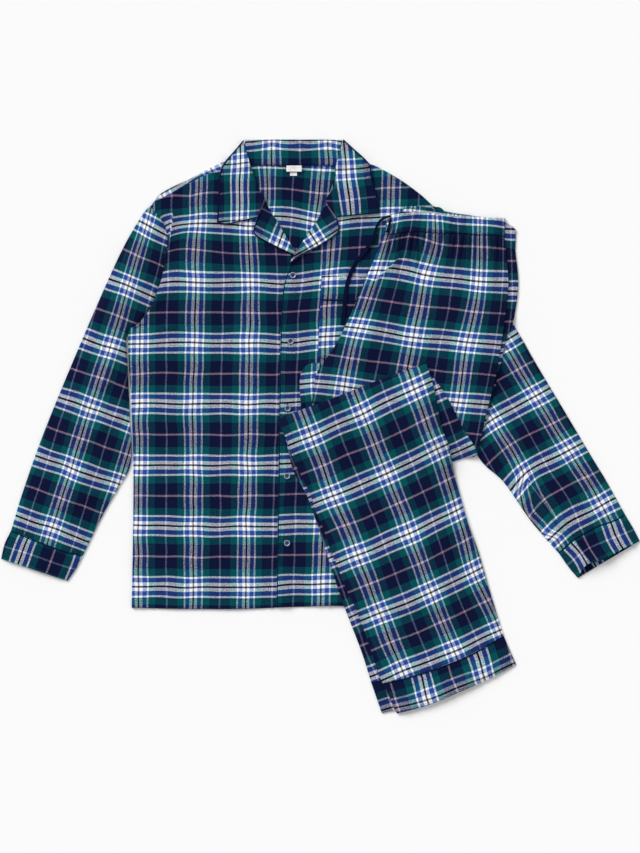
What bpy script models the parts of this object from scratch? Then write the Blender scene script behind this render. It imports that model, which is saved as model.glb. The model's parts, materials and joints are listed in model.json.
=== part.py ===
"""Pyjama set laid flat: a checked flannel shirt with its trousers folded on it.

The set lies on its back on a table. +X is across the chest, +Y runs from hem to collar and
+Z is up. The origin is the middle of the outline, on the table. Each piece is laid on the
ones below it, so the pile's heights follow from the order in which the pieces are laid.
"""

import math

import bmesh
import bpy
import numpy as np

MM = 0.001

# Cloth
WALL = 1.4 * MM  # brushed cotton with its nap
DOUBLE = 2.8 * MM  # two layers, as in a folded leg
COLLAR_WALL = 2.2 * MM  # two layers and their interlining
COLLAR_ROLL = 5.0 * MM  # the collar behind the neck, folded back on itself
GAP = 0.3 * MM  # left between pieces that touch
TUBE_GAP = 0.9 * MM  # between the two layers of a sleeve or leg
ROUND_OUT = 1.0 * MM  # how far a folded edge bulges
ROUND_IN = 0.72 * MM  # and its inner side
SWELL_POWER = 0.6  # how early a tube's upper layer rises from its folded edges
SLEEVE_LOFT = 3.5 * MM  # how far each tube's upper layer stands up in its middle
CUFF_LOFT = 3.0 * MM
LEG_LOFT = 2.5 * MM
HEM_LOFT = 2.0 * MM

# Trim
PIPING_WIDTH = 2.4 * MM
PIPING_HEIGHT = 1.6 * MM
BUTTON_RADIUS = 5.6 * MM
BUTTON_HEIGHT = 2.4 * MM
BUTTON_SIDES = 16
BUTTON_FOOT = 0.86  # its lower face, as a share of its upper one
LABEL_WALL = 1.0 * MM
TIE_WIDTH = 7.0 * MM  # the drawstring is a flat cotton tie
TIE_HEIGHT = 1.6 * MM
TIE_STEPS = 26

# Laying
CELL = 2.5 * MM  # cell of the height map of the pile
SPAN_X = 1.16
SPAN_Y = 1.04
SAG = 0.8 * MM  # how far unheld cloth sinks in each round
ROUNDS = 14

SHIRT_MIDDLE = -47.5  # X of the shirt's centre line, in mm

# Outlines, each a list of (x, y) in mm
SIDE = [(-320, -308), (-318, -194), (-317, -75), (-320, 19), (-326, 153)]
ARMHOLE = [(-326, 153), (-312, 170), (-288, 202), (-270, 250), (-259, 309), (-266, 345), (-288, 374)]
BACK_HEM = [(-320, -308), (-237, -310), (-132, -310), (-47, -307), (43, -305), (214, -307)]
BACK_TOP = [
    (-288, 374), (-269, 397), (-215, 424), (-162, 450), (-122, 447), (-47, 446),
    (30, 447), (70, 452), (127, 425), (166, 398), (193, 374),
]
RIGHT_SIDE = [(214, -307), (214, -194), (214, -75), (218, 19), (231, 153)]
SHOULDER_SEAM = [(-288, 374), (-271, 389), (-240, 404), (-200, 424), (-171, 438), (-132, 456)]
UNDER_FRONT_EDGE = [(-52, -306), (-50, 0), (-46, 270), (-80, 334), (-107, 390), (-121, 430), (-132, 456)]
UNDER_FRONT_HEM = [(-320, -308), (-237, -310), (-132, -310), (-52, -306)]
OVER_FRONT_EDGE = [
    (-74, -306), (-71, -126), (-69, 44), (-64, 214), (-50, 275), (-24, 318), (6, 372), (28, 430),
    (36, 456),
]
OVER_FRONT_HEM = [(-74, -306), (43, -305), (214, -307)]
OVER_FRONT_TOP = [(36, 456), (81, 448), (127, 425), (166, 398), (193, 374)]

SLEEVE_OUT = [(-288, 374), (-303, 357), (-341, 289), (-395, 167), (-463, 3), (-502, -105), (-523, -173)]
SLEEVE_IN = [(-328.5, 152), (-327, 100), (-324, 19), (-322, -60), (-344, -105), (-368, -146), (-403, -215)]
CUFF_OUT = [(-523, -173), (-535, -200), (-541, -225)]
CUFF_IN = [(-403, -215), (-415, -240), (-430, -262)]
FAR_SLEEVE_OUT = [
    (193, 374), (222, 350), (334, 163), (363, 112), (428, 3), (460, -51), (485, -92), (518, -151),
]
FAR_SLEEVE_IN = [(233.5, 152), (243, 60), (267, -45), (313, -94), (354, -153), (379, -184), (407, -215)]
FAR_CUFF_OUT = [(518, -151), (534, -172), (541, -196)]
FAR_CUFF_IN = [(407, -215), (423, -238), (439, -257)]

FALL_OUT = [(-175, 346), (-172, 400), (-170, 430), (-163, 448), (-148, 466), (-131, 486)]
FALL_IN = [(-107, 354), (-96, 386), (-104, 404), (-110, 420), (-117, 440), (-124, 464), (-130, 487)]
FALL_END = [(-175, 346), (-160, 343), (-138, 347), (-107, 354)]
FALL_TIP = [(-131, 486), (-130, 487)]
FAR_FALL_OUT = [(100, 362), (101, 376), (95, 398), (88, 423), (87, 438), (78, 453), (41, 487)]
FAR_FALL_IN = [(29, 355), (10, 382), (18, 398), (27, 416), (26, 438), (32, 460), (39, 487)]
FAR_FALL_END = [(100, 362), (68, 359), (29, 355)]
FAR_FALL_TIP = [(41, 487), (39, 487)]
COLLAR_TOP = [(-128, 487), (-47, 488), (38, 487)]
COLLAR_SEAM = [(-126, 444), (-47, 443), (36, 444)]

LAPEL_OUT = [(-46, 291), (-80, 307), (-112, 327), (-107, 354)]
LAPEL_IN = [(-45, 293), (-64, 334), (-79, 354), (-95, 388)]
LAPEL_END = [(-46, 291), (-45, 293)]
LAPEL_TOP = [(-107, 354), (-95, 388)]
FAR_LAPEL_OUT = [(-46, 284), (-2, 309), (32, 330), (29, 354)]
FAR_LAPEL_IN = [(-47, 285), (-36, 304), (-17, 336), (-3, 354), (10, 382)]
FAR_LAPEL_END = [(-46, 284), (-47, 285)]
FAR_LAPEL_TOP = [(29, 354), (10, 382)]

POCKET = [(-4, 116), (92, 112), (88, 252), (3, 257)]
POCKET_TRIM = [(3, 215), (45, 214), (86, 212)]
NECK_LABEL = [(-57, 433), (-31, 433), (-31, 443), (-57, 443)]
SIZE_TAB = [(-51, 426), (-39, 426), (-39, 432), (-51, 432)]

# Buttons down the over front: (name, x, y) in mm
BUTTONS = [
    ("top", -46, 257), ("second", -50, 145), ("third", -55, 31), ("fourth", -56, -84),
    ("fifth", -56, -198),
]

UNDER_THIGH_LEFT = [
    (-28, 4), (-31, 29), (-33, 82), (-20, 105), (14, 112), (40, 150), (70, 215), (99, 280), (128, 336),
]
UNDER_THIGH_RIGHT = [(262, -38), (285, 20), (303, 94), (316, 150), (327, 176), (336, 240), (331, 300)]
UNDER_THIGH_END = [(-28, 4), (100, -16), (262, -38)]
UNDER_THIGH_TOP = [(128, 336), (230, 322), (331, 300)]
UNDER_BAND_TOP = [(145, 374), (173, 374), (193, 369), (233, 362), (275, 356), (320, 344), (332, 335)]
THIGH_LEFT = [
    (-13, 40), (-9, 70), (-5, 90), (10, 113), (34, 150), (64, 215), (80, 254), (93, 280), (108, 322),
]
THIGH_RIGHT = [(268, -42), (278, 7), (289, 53), (299, 94), (310, 163), (317, 219), (319, 254), (311, 316)]
THIGH_END = [(-13, 40), (120, -4), (268, -42)]
THIGH_TOP = [(108, 322), (160, 326), (233, 320), (311, 316)]
BAND_TOP = [(119, 360), (138, 365), (160, 365), (197, 361), (233, 358), (270, 356), (314, 354)]

FOLD_LEFT = [(-42, -40), (-52, -18), (-60, 6)]
FOLD_RIGHT = [(224, -60), (242, -54), (266, -46), (240, 0), (223, 34), (202, 69), (180, 94)]
FOLD_END = [(-42, -40), (90, -56), (224, -60)]
FOLD_TOP = [(-60, 6), (60, 56), (180, 94)]

SHIN_LEFT = [
    (108, -436), (99, -416), (86, -375), (65, -316), (40, -263), (21, -216), (8, -176), (-5, -145),
    (-15, -115), (-32, -80), (-48, -44), (-59, -14), (-71, 12),
]
SHIN_RIGHT = [
    (311, -356), (292, -296), (268, -214), (249, -160), (230, -92), (217, -33), (205, -1), (193, 59),
    (180, 106),
]
SHIN_END = [(108, -436), (167, -421), (244, -392), (311, -356)]
SHIN_TOP = [(-71, 12), (-43, 24), (28, 50), (101, 79), (180, 106)]
UNDER_SHIN_LEFT = [
    (88, -435), (71, -381), (42, -305), (12, -215), (-11, -145), (-22, -115), (-42, -80), (-52, -45),
    (-62, 4),
]
UNDER_SHIN_RIGHT = [(298, -350), (280, -286), (258, -206), (238, -144), (206, -33), (186, 50), (170, 92)]
UNDER_SHIN_END = [(88, -435), (190, -410), (298, -350)]
UNDER_SHIN_TOP = [(-62, 4), (50, 52), (170, 92)]
HEM_END = [(131, -487), (184, -473), (237, -451), (290, -428), (332, -405)]
UNDER_HEM_END = [(106, -487), (200, -464), (316, -400)]

# Drawstring: its two free ends, each a list of (x, y) in mm from the waistband
TIE_NEAR = [
    (120, 357), (111, 355), (103, 350), (97, 341), (92, 327), (86, 312), (74, 294), (63, 281), (54, 264),
    (48, 248), (44, 228), (42, 208), (40, 190), (38, 172),
]
TIE_FAR = [(119, 349), (118, 343), (116, 336), (113, 329)]

# Soft ridges: (piece, x0, y0, x1, y1, half width, height), all in mm
RIDGES = [
    ("shirt_front_right", -300, 180, -225, 20, 26, 2.6),
    ("shirt_front_right", -250, 330, -180, 200, 24, 2.0),
    ("shirt_front_right", -110, 180, -150, -60, 30, 2.4),
    ("shirt_front_right", -250, -120, -180, -290, 30, 2.4),
    ("shirt_front_left", 60, 400, 20, 300, 24, 2.2),
    ("shirt_front_left", 0, 100, -30, -60, 26, 2.0),
    ("shirt_front_left", 20, -200, 10, -300, 24, 2.0),
    ("shirt_sleeve_right", -310, 300, -400, 60, 26, 4.0),
    ("shirt_sleeve_right", -420, 40, -400, -120, 22, 3.0),
    ("shirt_sleeve_right", -370, -40, -450, -150, 18, 2.4),
    ("shirt_sleeve_left", 350, 40, 440, -130, 26, 4.0),
    ("shirt_sleeve_left", 330, -70, 400, -180, 16, 4.0),
    ("shirt_sleeve_left", 290, -40, 380, 10, 18, 3.0),
    ("trouser_top_thigh", 104, 312, 74, 200, 14, 4.0),
    ("trouser_top_thigh", 130, 250, 60, 90, 24, 3.0),
    ("trouser_top_thigh", 290, 250, 270, 60, 22, 3.0),
    ("trouser_top_shin", 0, 0, 110, -250, 34, 3.0),
    ("trouser_top_shin", 150, 50, 200, -120, 30, 3.0),
    ("trouser_top_shin", 180, -180, 240, -330, 30, 3.0),
]

# Gathers under the elastic
GATHERS = 9
GATHER_DEPTH = 2.6 * MM
GATHER_LENGTH = 90 * MM
BAND_WAVES = 11
BAND_WAVE_DEPTH = 0.9 * MM

COLLECTION = bpy.data.collections.new("PyjamaSet")


# ---------------------------------------------------------------- outlines

def spline_points(points, density=24):
    """Points along a smooth curve through the given ones."""
    known = [np.array(point) for point in points]
    ends = [2 * known[0] - known[1], *known, 2 * known[-1] - known[-2]]
    found = []
    for a, b, c, d in zip(ends, ends[1:], ends[2:], ends[3:]):
        for t in np.arange(density) / density:
            found.append(
                b + 0.5 * t * (c - a + t * (2 * a - 5 * b + 4 * c - d + t * (3 * (b - c) + d - a)))
            )
    found.append(ends[-2])
    return np.array(found)


def run(points, steps):
    """An outline in mm as steps + 1 evenly spaced points in metres."""
    curve = spline_points([np.array(p, float) for p in points]) * MM
    length = np.concatenate([[0], np.cumsum(np.linalg.norm(np.diff(curve, axis=0), axis=1))])
    wanted = np.linspace(0, length[-1], steps + 1)
    return np.stack([np.interp(wanted, length, curve[:, k]) for k in (0, 1)], axis=1)


def joined(first, second, shared=1):
    """Two runs end to end, a shared point once."""
    return np.concatenate([first, second[shared:]])


def mirrored(points):
    """An outline on the shirt's other side."""
    return [(2 * SHIRT_MIDDLE - x, y) for x, y in points]


def patch(end, top, left, right, fade=1):
    """The plan of a piece from its four edges: plan[row, column] is a point in metres.

    fade says how soon the curve of the end edge is lost in the rows above it.
    """
    u = np.linspace(0, 1, len(end))[None, :, None]
    v = np.linspace(0, 1, len(left))[:, None, None]
    end_curve = end[None] - (1 - u) * end[0] - u * end[-1]
    top_curve = top[None] - (1 - u) * top[0] - u * top[-1]
    straight = (1 - u) * left[:, None] + u * right[:, None]
    return straight + (1 - v) ** fade * end_curve + v * top_curve


def shrunk(plan, left=0.0, right=0.0, end=0.0, top=0.0):
    """The plan with its edges drawn in by the given distances."""
    plan = plan.copy()

    def draw_in(edge, inner, amount):
        along = np.gradient(edge, axis=0)
        along = along / np.linalg.norm(along, axis=1)[:, None]
        step = inner - edge
        step = step - (step * along).sum(axis=1)[:, None] * along
        return edge + step / np.linalg.norm(step, axis=1)[:, None] * amount

    plan[:, 0] = draw_in(plan[:, 0], plan[:, 1], left) if left else plan[:, 0]
    plan[:, -1] = draw_in(plan[:, -1], plan[:, -2], right) if right else plan[:, -1]
    plan[0] = draw_in(plan[0], plan[1], end) if end else plan[0]
    plan[-1] = draw_in(plan[-1], plan[-2], top) if top else plan[-1]
    return plan


# ---------------------------------------------------------------- the pile

class Pile:
    """Height maps of the pieces laid so far, by name."""

    def __init__(self):
        self.columns = round(SPAN_X / CELL)
        self.rows = round(SPAN_Y / CELL)
        self.tops = {}

    def samples(self, corners, triangles):
        """The cells under each triangle: cell, triangle and the weight of each corner."""
        grid = corners[:, :2] / CELL + [self.columns / 2, self.rows / 2]
        cells, owners, weights = [], [], []
        for number, triangle in enumerate(triangles):
            a, b, c = grid[triangle]
            low = np.floor(np.minimum(np.minimum(a, b), c)).astype(int)
            high = np.ceil(np.maximum(np.maximum(a, b), c)).astype(int)
            x, y = np.meshgrid(np.arange(low[0], high[0] + 1), np.arange(low[1], high[1] + 1))
            area = (b[0] - a[0]) * (c[1] - a[1]) - (b[1] - a[1]) * (c[0] - a[0])
            if abs(area) < 1e-9:
                continue
            wb = ((x - a[0]) * (c[1] - a[1]) - (y - a[1]) * (c[0] - a[0])) / area
            wc = ((b[0] - a[0]) * (y - a[1]) - (b[1] - a[1]) * (x - a[0])) / area
            inside = (wb >= -1e-6) & (wc >= -1e-6) & (wb + wc <= 1 + 1e-6)
            cells.append((y * self.columns + x)[inside])
            owners.append(np.full(inside.sum(), number))
            weights.append(np.stack([1 - wb - wc, wb, wc], axis=-1)[inside])
            own = np.round(np.array([a, b, c, (a + b + c) / 3])).astype(int)
            cells.append(own[:, 1] * self.columns + own[:, 0])
            owners.append(np.full(4, number))
            weights.append(np.concatenate([np.eye(3), np.full((1, 3), 1 / 3)]))
        return np.concatenate(cells), np.concatenate(owners), np.concatenate(weights)

    def add(self, name, corners, triangles):
        """Records the top of a finished piece."""
        cells, owners, weights = self.samples(corners, triangles)
        heights = (weights * corners[triangles][owners][:, :, 2]).sum(axis=1)
        top = np.full(self.columns * self.rows, -1.0)
        np.maximum.at(top, cells, heights)
        self.tops[name] = top.reshape(self.rows, self.columns)

    def under(self, names):
        """The lowest that a piece may lie over the named ones, with a cell's margin at their edges."""
        need = np.zeros((self.rows, self.columns))
        for name in names:
            need = np.maximum(need, self.tops[name] + GAP)
        for axis in (0, 1):
            need = np.maximum(need, np.maximum(np.roll(need, 1, axis), np.roll(need, -1, axis)))
        return need

    def height_at(self, names, x, y, radius):
        """The highest point of the named pieces within a radius of a place in metres."""
        need = self.under(names)
        across = (np.arange(self.columns) - self.columns / 2) * CELL - x
        along = (np.arange(self.rows) - self.rows / 2) * CELL - y
        near = across[None, :] ** 2 + along[:, None] ** 2 <= radius**2
        return need[near].max()


PILE = Pile()


def weave(columns, rows):
    """A grid of cloth cut into triangles, as a bmesh."""
    mesh = bmesh.new()
    spot = mesh.verts.layers.int.new("spot")
    bmesh.ops.create_grid(mesh, x_segments=columns, y_segments=rows, size=0.5)
    for vertex in mesh.verts:
        column = round((vertex.co.x + 0.5) * columns)
        row = round((vertex.co.y + 0.5) * rows)
        vertex[spot] = row * (columns + 1) + column
    bmesh.ops.triangulate(mesh, faces=mesh.faces[:], quad_method="FIXED")
    return mesh, spot


def triangles_of(mesh, spot):
    """Each triangle of a weave as the places of its corners."""
    return np.array([[vertex[spot] for vertex in face.verts] for face in mesh.faces])


def lay(plan, over):
    """The height of each point of a plan laid on the named pieces, or on the table."""
    rows, columns = plan.shape[:2]
    if not over:
        return np.zeros((rows, columns))
    mesh, spot = weave(columns - 1, rows - 1)
    triangles = triangles_of(mesh, spot)
    mesh.free()
    flat = np.concatenate([plan.reshape(-1, 2), np.zeros((rows * columns, 1))], axis=1)
    cells, owners, weights = PILE.samples(flat, triangles)
    need = PILE.under(over).ravel()[cells]
    corners = triangles[owners]
    spread = weights / (weights**2).sum(axis=1)[:, None]
    height = np.zeros(rows * columns)
    for _ in range(ROUNDS):
        sheet = np.pad(height.reshape(rows, columns), 1, mode="edge")
        around = (sheet[:-2, 1:-1] + sheet[2:, 1:-1] + sheet[1:-1, :-2] + sheet[1:-1, 2:]) / 4
        height = np.maximum((height + around.ravel()) / 2 - SAG, 0)
        short = np.maximum(need - (weights * height[corners]).sum(axis=1), 0)
        lifted = np.zeros_like(height)
        np.maximum.at(lifted, corners, spread * short[:, None])
        height += lifted
    short = np.maximum(need - (weights * height[corners]).sum(axis=1), 0)
    lifted = np.zeros_like(height)
    np.maximum.at(lifted, corners, np.repeat(short[:, None], 3, axis=1))
    return (height + lifted).reshape(rows, columns)


def ridges(name, plan):
    """The height that a piece's soft ridges add at each point of its plan."""
    total = np.zeros(plan.shape[:2])
    for piece, x0, y0, x1, y1, half_width, height in RIDGES:
        if piece != name:
            continue
        start = np.array([x0, y0]) * MM
        line = np.array([x1, y1]) * MM - start
        along = ((plan - start) @ line) / (line @ line)
        nearest = start + np.clip(along, 0, 1)[..., None] * line
        away = np.linalg.norm(plan - nearest, axis=2) / (half_width * MM)
        fade = np.clip(np.minimum(along, 1 - along) * 4 + 0.6, 0, 1)
        total += height * MM * np.exp(-(away**2)) * fade
    edge = np.ones(plan.shape[:2])
    edge[[0, -1]] = 0
    edge[:, [0, -1]] = 0
    return total * edge


# ---------------------------------------------------------------- solids

def finish(mesh, name, material):
    """Makes an object of a bmesh and records its top in the pile."""
    bmesh.ops.recalc_face_normals(mesh, faces=mesh.faces[:])
    bmesh.ops.triangulate(mesh, faces=mesh.faces[:])
    mesh.verts.index_update()
    corners = np.array([vertex.co[:] for vertex in mesh.verts])
    triangles = np.array([[vertex.index for vertex in face.verts] for face in mesh.faces])
    PILE.add(name, corners, triangles)
    data = bpy.data.meshes.new(name)
    mesh.to_mesh(data)
    mesh.free()
    data.materials.append(material)
    data.shade_smooth()
    data.set_sharp_from_angle(angle=math.radians(40))
    COLLECTION.objects.link(bpy.data.objects.new(name, data))


def thicken(name, outer, inner, material, closed=False):
    """A solid between two skins of the same grid. A closed one is rolled into a tube."""
    rows, columns = outer.shape[:2]
    mesh, spot = weave(columns - 1, rows - 1)
    outside = outer.reshape(-1, 3)
    inside = inner.reshape(-1, 3)
    for vertex in mesh.verts:
        vertex.co = outside[vertex[spot]]
    if closed:
        bmesh.ops.remove_doubles(mesh, verts=mesh.verts[:], dist=1e-7)
    made = bmesh.ops.extrude_face_region(mesh, geom=mesh.faces[:], use_keep_orig=True)["geom"]
    for vertex in made:
        if isinstance(vertex, bmesh.types.BMVert):
            vertex.co = inside[vertex[spot]]
    return finish(mesh, name, material)


def sheet(name, plan, over, material, wall=WALL, raised=0.0):
    """A flat piece laid on others: wall is its thickness, raised adds to its upper side only."""
    low = lay(plan, over) + ridges(name, plan) * (1 if over else 0)
    high = low + wall + raised
    skins = [np.concatenate([plan, z[..., None]], axis=2) for z in (low, high)]
    return thicken(name, *skins, material)


def tube(name, plan, over, material, loft):
    """A flattened tube laid on others, open at both ends. loft is how far its upper layer stands."""
    low = lay(plan, over)
    columns = plan.shape[1]
    swell = np.sin(np.linspace(0, math.pi, columns)) ** SWELL_POWER
    high = low + 2 * WALL + TUBE_GAP + loft * swell[None] + ridges(name, plan)
    across = plan[:, -1] - plan[:, 0]
    across = across / np.linalg.norm(across, axis=1)[:, None]
    inset = plan.copy()
    inset[:, 0] += across * WALL
    inset[:, -1] -= across * WALL
    rings = []
    for flat, lower, upper, bulge in (
        (plan, low, high, ROUND_OUT),
        (inset, low + WALL, high - WALL, ROUND_IN),
    ):
        middle = (lower + upper) / 2
        below = np.concatenate([flat, lower[..., None]], axis=2)
        above = np.concatenate([flat, upper[..., None]], axis=2)[:, ::-1]
        east = np.concatenate([flat[:, -1] + across * bulge, middle[:, -1:]], axis=1)[:, None]
        west = np.concatenate([flat[:, 0] - across * bulge, middle[:, :1]], axis=1)[:, None]
        rings.append(np.concatenate([below, east, above, west, below[:, :1]], axis=1))
    return thicken(name, *rings, material, closed=True)


def strip(name, line, over, material, width=PIPING_WIDTH, height=PIPING_HEIGHT):
    """A narrow piece of trim laid along a line in metres."""
    forward = np.gradient(line, axis=0)
    forward = forward / np.linalg.norm(forward, axis=1)[:, None]
    aside = np.stack([-forward[:, 1], forward[:, 0]], axis=1) * width / 2
    plan = np.stack([line + aside, line - aside], axis=1)
    return sheet(name, plan, over, material, wall=height)


# ---------------------------------------------------------------- materials

def make_material(name, color, roughness):
    """A plain cloth, tape or horn."""
    material = bpy.data.materials.new(name)
    material.use_nodes = True
    shader = material.node_tree.nodes["Principled BSDF"]
    shader.inputs["Base Color"].default_value = (*color, 1)
    shader.inputs["Roughness"].default_value = roughness
    shader.inputs["Metallic"].default_value = 0
    material.diffuse_color = (*color, 1)
    return material


# ---------------------------------------------------------------- shirt

PIPING_IN = 1.4 * MM  # from a piece's edge to the middle of its piping
SIDE_STEPS = 8
ARM_STEPS = 7
SLEEVE_STEPS = 12
BACK_STEPS = 12
FRONT_STEPS = 8
COLLAR_STEPS = 8
LAPEL_STEPS = 6
TIP_STEPS = 4  # across the collar falls
FOLD_STEPS = 3  # across the lapels and up the collar behind the neck
SLEEVE_HEAD_FADE = 6
BREAK_ROW = 12  # rows of the front below the point where the lapel turns


def make_shirt_body(cloth, piping):
    """The back on the table, then the under front and the over front with its piped edge."""
    side = run(SIDE, SIDE_STEPS)
    armhole = run(ARMHOLE, ARM_STEPS)
    far_side = run(RIGHT_SIDE, SIDE_STEPS)
    far_armhole = run(mirrored(ARMHOLE), ARM_STEPS)
    left_edge = joined(side, armhole)
    right_edge = joined(far_side, far_armhole)
    rows = SIDE_STEPS + ARM_STEPS
    back = patch(run(BACK_HEM, BACK_STEPS), run(BACK_TOP, BACK_STEPS), left_edge, right_edge)
    sheet("shirt_back", back, (), cloth)
    front = patch(
        run(UNDER_FRONT_HEM, FRONT_STEPS), run(SHOULDER_SEAM, FRONT_STEPS),
        left_edge, run(UNDER_FRONT_EDGE, rows),
    )
    sheet("shirt_front_right", front, ("shirt_back",), cloth)
    far_front = patch(
        run(OVER_FRONT_HEM, FRONT_STEPS), run(OVER_FRONT_TOP, FRONT_STEPS),
        run(OVER_FRONT_EDGE, rows), right_edge,
    )
    sheet("shirt_front_left", far_front, ("shirt_back", "shirt_front_right"), cloth)
    edge = shrunk(far_front, left=PIPING_IN)[:BREAK_ROW, 0]
    strip("shirt_piping_front", edge, ("shirt_front_right", "shirt_front_left"), piping)


def make_arm(side_name, armhole, outside, inside, cuff_outside, cuff_inside, cloth, piping):
    """A sleeve from its armhole to the cuff, and the cuff with the piping in its seam."""
    top = run(armhole, ARM_STEPS)[:0:-1]
    side = run(inside, SLEEVE_STEPS - 1)
    wrist = run([outside[-1], inside[-1]], ARM_STEPS - 1)
    inner_edge = joined(top[-1:], side, shared=0)
    plan = patch(top, wrist, run(outside, SLEEVE_STEPS), inner_edge, fade=SLEEVE_HEAD_FADE)
    plan = shrunk(plan, end=GAP, right=GAP)
    tube(f"shirt_sleeve_{side_name}", plan, (), cloth, loft=SLEEVE_LOFT)
    cuff_end = run([cuff_outside[-1], cuff_inside[-1]], ARM_STEPS - 1)
    cuff = patch(wrist, cuff_end, run(cuff_outside, 2), run(cuff_inside, 2))
    cuff = shrunk(cuff, end=GAP)
    tube(f"shirt_cuff_{side_name}", cuff, (), cloth, loft=CUFF_LOFT)
    seam = shrunk(cuff, end=PIPING_IN)[0]
    strip(f"shirt_piping_cuff_{side_name}", seam, (f"shirt_cuff_{side_name}",), piping)


def make_collar(cloth, piping):
    """The collar behind the neck, the lapels turned back and the collar's two falls over them."""
    body = ("shirt_back", "shirt_front_right", "shirt_front_left")
    back = patch(
        run(COLLAR_SEAM, COLLAR_STEPS), run(COLLAR_TOP, COLLAR_STEPS),
        run([COLLAR_SEAM[0], COLLAR_TOP[0]], FOLD_STEPS),
        run([COLLAR_SEAM[-1], COLLAR_TOP[-1]], FOLD_STEPS),
    )
    sheet("shirt_collar_back", back, body, cloth, wall=COLLAR_ROLL)
    lapel = patch(
        run(LAPEL_END, FOLD_STEPS), run(LAPEL_TOP, FOLD_STEPS),
        run(LAPEL_OUT, LAPEL_STEPS), run(LAPEL_IN, LAPEL_STEPS),
    )
    sheet("shirt_lapel_right", lapel, body, cloth, wall=COLLAR_WALL)
    far_lapel = patch(
        run(FAR_LAPEL_END, FOLD_STEPS), run(FAR_LAPEL_TOP, FOLD_STEPS),
        run(FAR_LAPEL_IN, LAPEL_STEPS), run(FAR_LAPEL_OUT, LAPEL_STEPS),
    )
    sheet("shirt_lapel_left", far_lapel, (*body, "shirt_lapel_right"), cloth, wall=COLLAR_WALL)
    below = (*body, "shirt_collar_back", "shirt_lapel_right", "shirt_lapel_left")
    fall = patch(
        run(FALL_END, TIP_STEPS), run(FALL_TIP, TIP_STEPS),
        run(FALL_OUT, COLLAR_STEPS), run(FALL_IN, COLLAR_STEPS),
    )
    sheet("shirt_collar_fall_right", fall, below, cloth, wall=COLLAR_WALL)
    far_fall = patch(
        run(FAR_FALL_END[::-1], TIP_STEPS), run(FAR_FALL_TIP[::-1], TIP_STEPS),
        run(FAR_FALL_IN, COLLAR_STEPS), run(FAR_FALL_OUT, COLLAR_STEPS),
    )
    sheet("shirt_collar_fall_left", far_fall, below, cloth, wall=COLLAR_WALL)
    for name, piece, line in (
        ("lapel_right", "lapel_right", shrunk(lapel, left=PIPING_IN)[:LAPEL_STEPS, 0]),
        ("lapel_left", "lapel_left", shrunk(far_lapel, right=PIPING_IN)[:LAPEL_STEPS, -1]),
        ("fall_right_side", "collar_fall_right", shrunk(fall, left=PIPING_IN)[1:, 0]),
        ("fall_right_end", "collar_fall_right", shrunk(fall, end=PIPING_IN)[0, 1:]),
        ("fall_left_side", "collar_fall_left", shrunk(far_fall, right=PIPING_IN)[1:, -1]),
        ("fall_left_end", "collar_fall_left", shrunk(far_fall, end=PIPING_IN)[0, :-1]),
    ):
        strip(f"shirt_piping_{name}", line, (*below, f"shirt_{piece}"), piping)


def quad(corners, columns, rows):
    """A four-cornered plan: corners in mm, counter-clockwise from the lower left."""
    a, b, c, d = corners
    return patch(run([a, b], columns), run([d, c], columns), run([a, d], rows), run([b, c], rows))


def make_shirt_trim(cloth, piping, label, button):
    """The chest pocket, the blank labels in the neck and the buttons."""
    sheet("shirt_pocket", quad(POCKET, 6, 6), ("shirt_front_left",), cloth)
    strip("shirt_piping_pocket", run(POCKET_TRIM, 5), ("shirt_pocket",), piping)
    neck = ("shirt_back", "shirt_collar_back")
    sheet("shirt_neck_label", quad(NECK_LABEL, 2, 1), neck, label, wall=LABEL_WALL)
    sheet("shirt_size_tab", quad(SIZE_TAB, 2, 1), neck, label, wall=LABEL_WALL)
    for name, x, y in BUTTONS:
        below = ("shirt_front_left", "shirt_front_right")
        floor = PILE.height_at(below, x * MM, y * MM, BUTTON_RADIUS)
        disc = bmesh.new()
        bmesh.ops.create_cone(
            disc, cap_ends=True, segments=BUTTON_SIDES, radius1=BUTTON_RADIUS * BUTTON_FOOT,
            radius2=BUTTON_RADIUS, depth=BUTTON_HEIGHT,
        )
        bmesh.ops.translate(disc, verts=disc.verts[:], vec=(x * MM, y * MM, floor + BUTTON_HEIGHT / 2))
        finish(disc, f"shirt_button_{name}", button)


# ---------------------------------------------------------------- trousers

THIGH_STEPS = 12
THIGH_COLUMNS = 27  # three for each gather
UNDER_COLUMNS = 8
UNDER_BAND_STEPS = 14
LEG_STEPS = 14
LEG_COLUMNS = 7
BAND_ROWS = 2
FOLD_ROWS = 6
FOLD_COLUMNS = 8


def band_of(lower, upper, columns):
    """A waistband or hem band between two lines."""
    return patch(
        run(lower, columns), run(upper, columns),
        run([lower[0], upper[0]], BAND_ROWS), run([lower[-1], upper[-1]], BAND_ROWS),
    )


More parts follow.
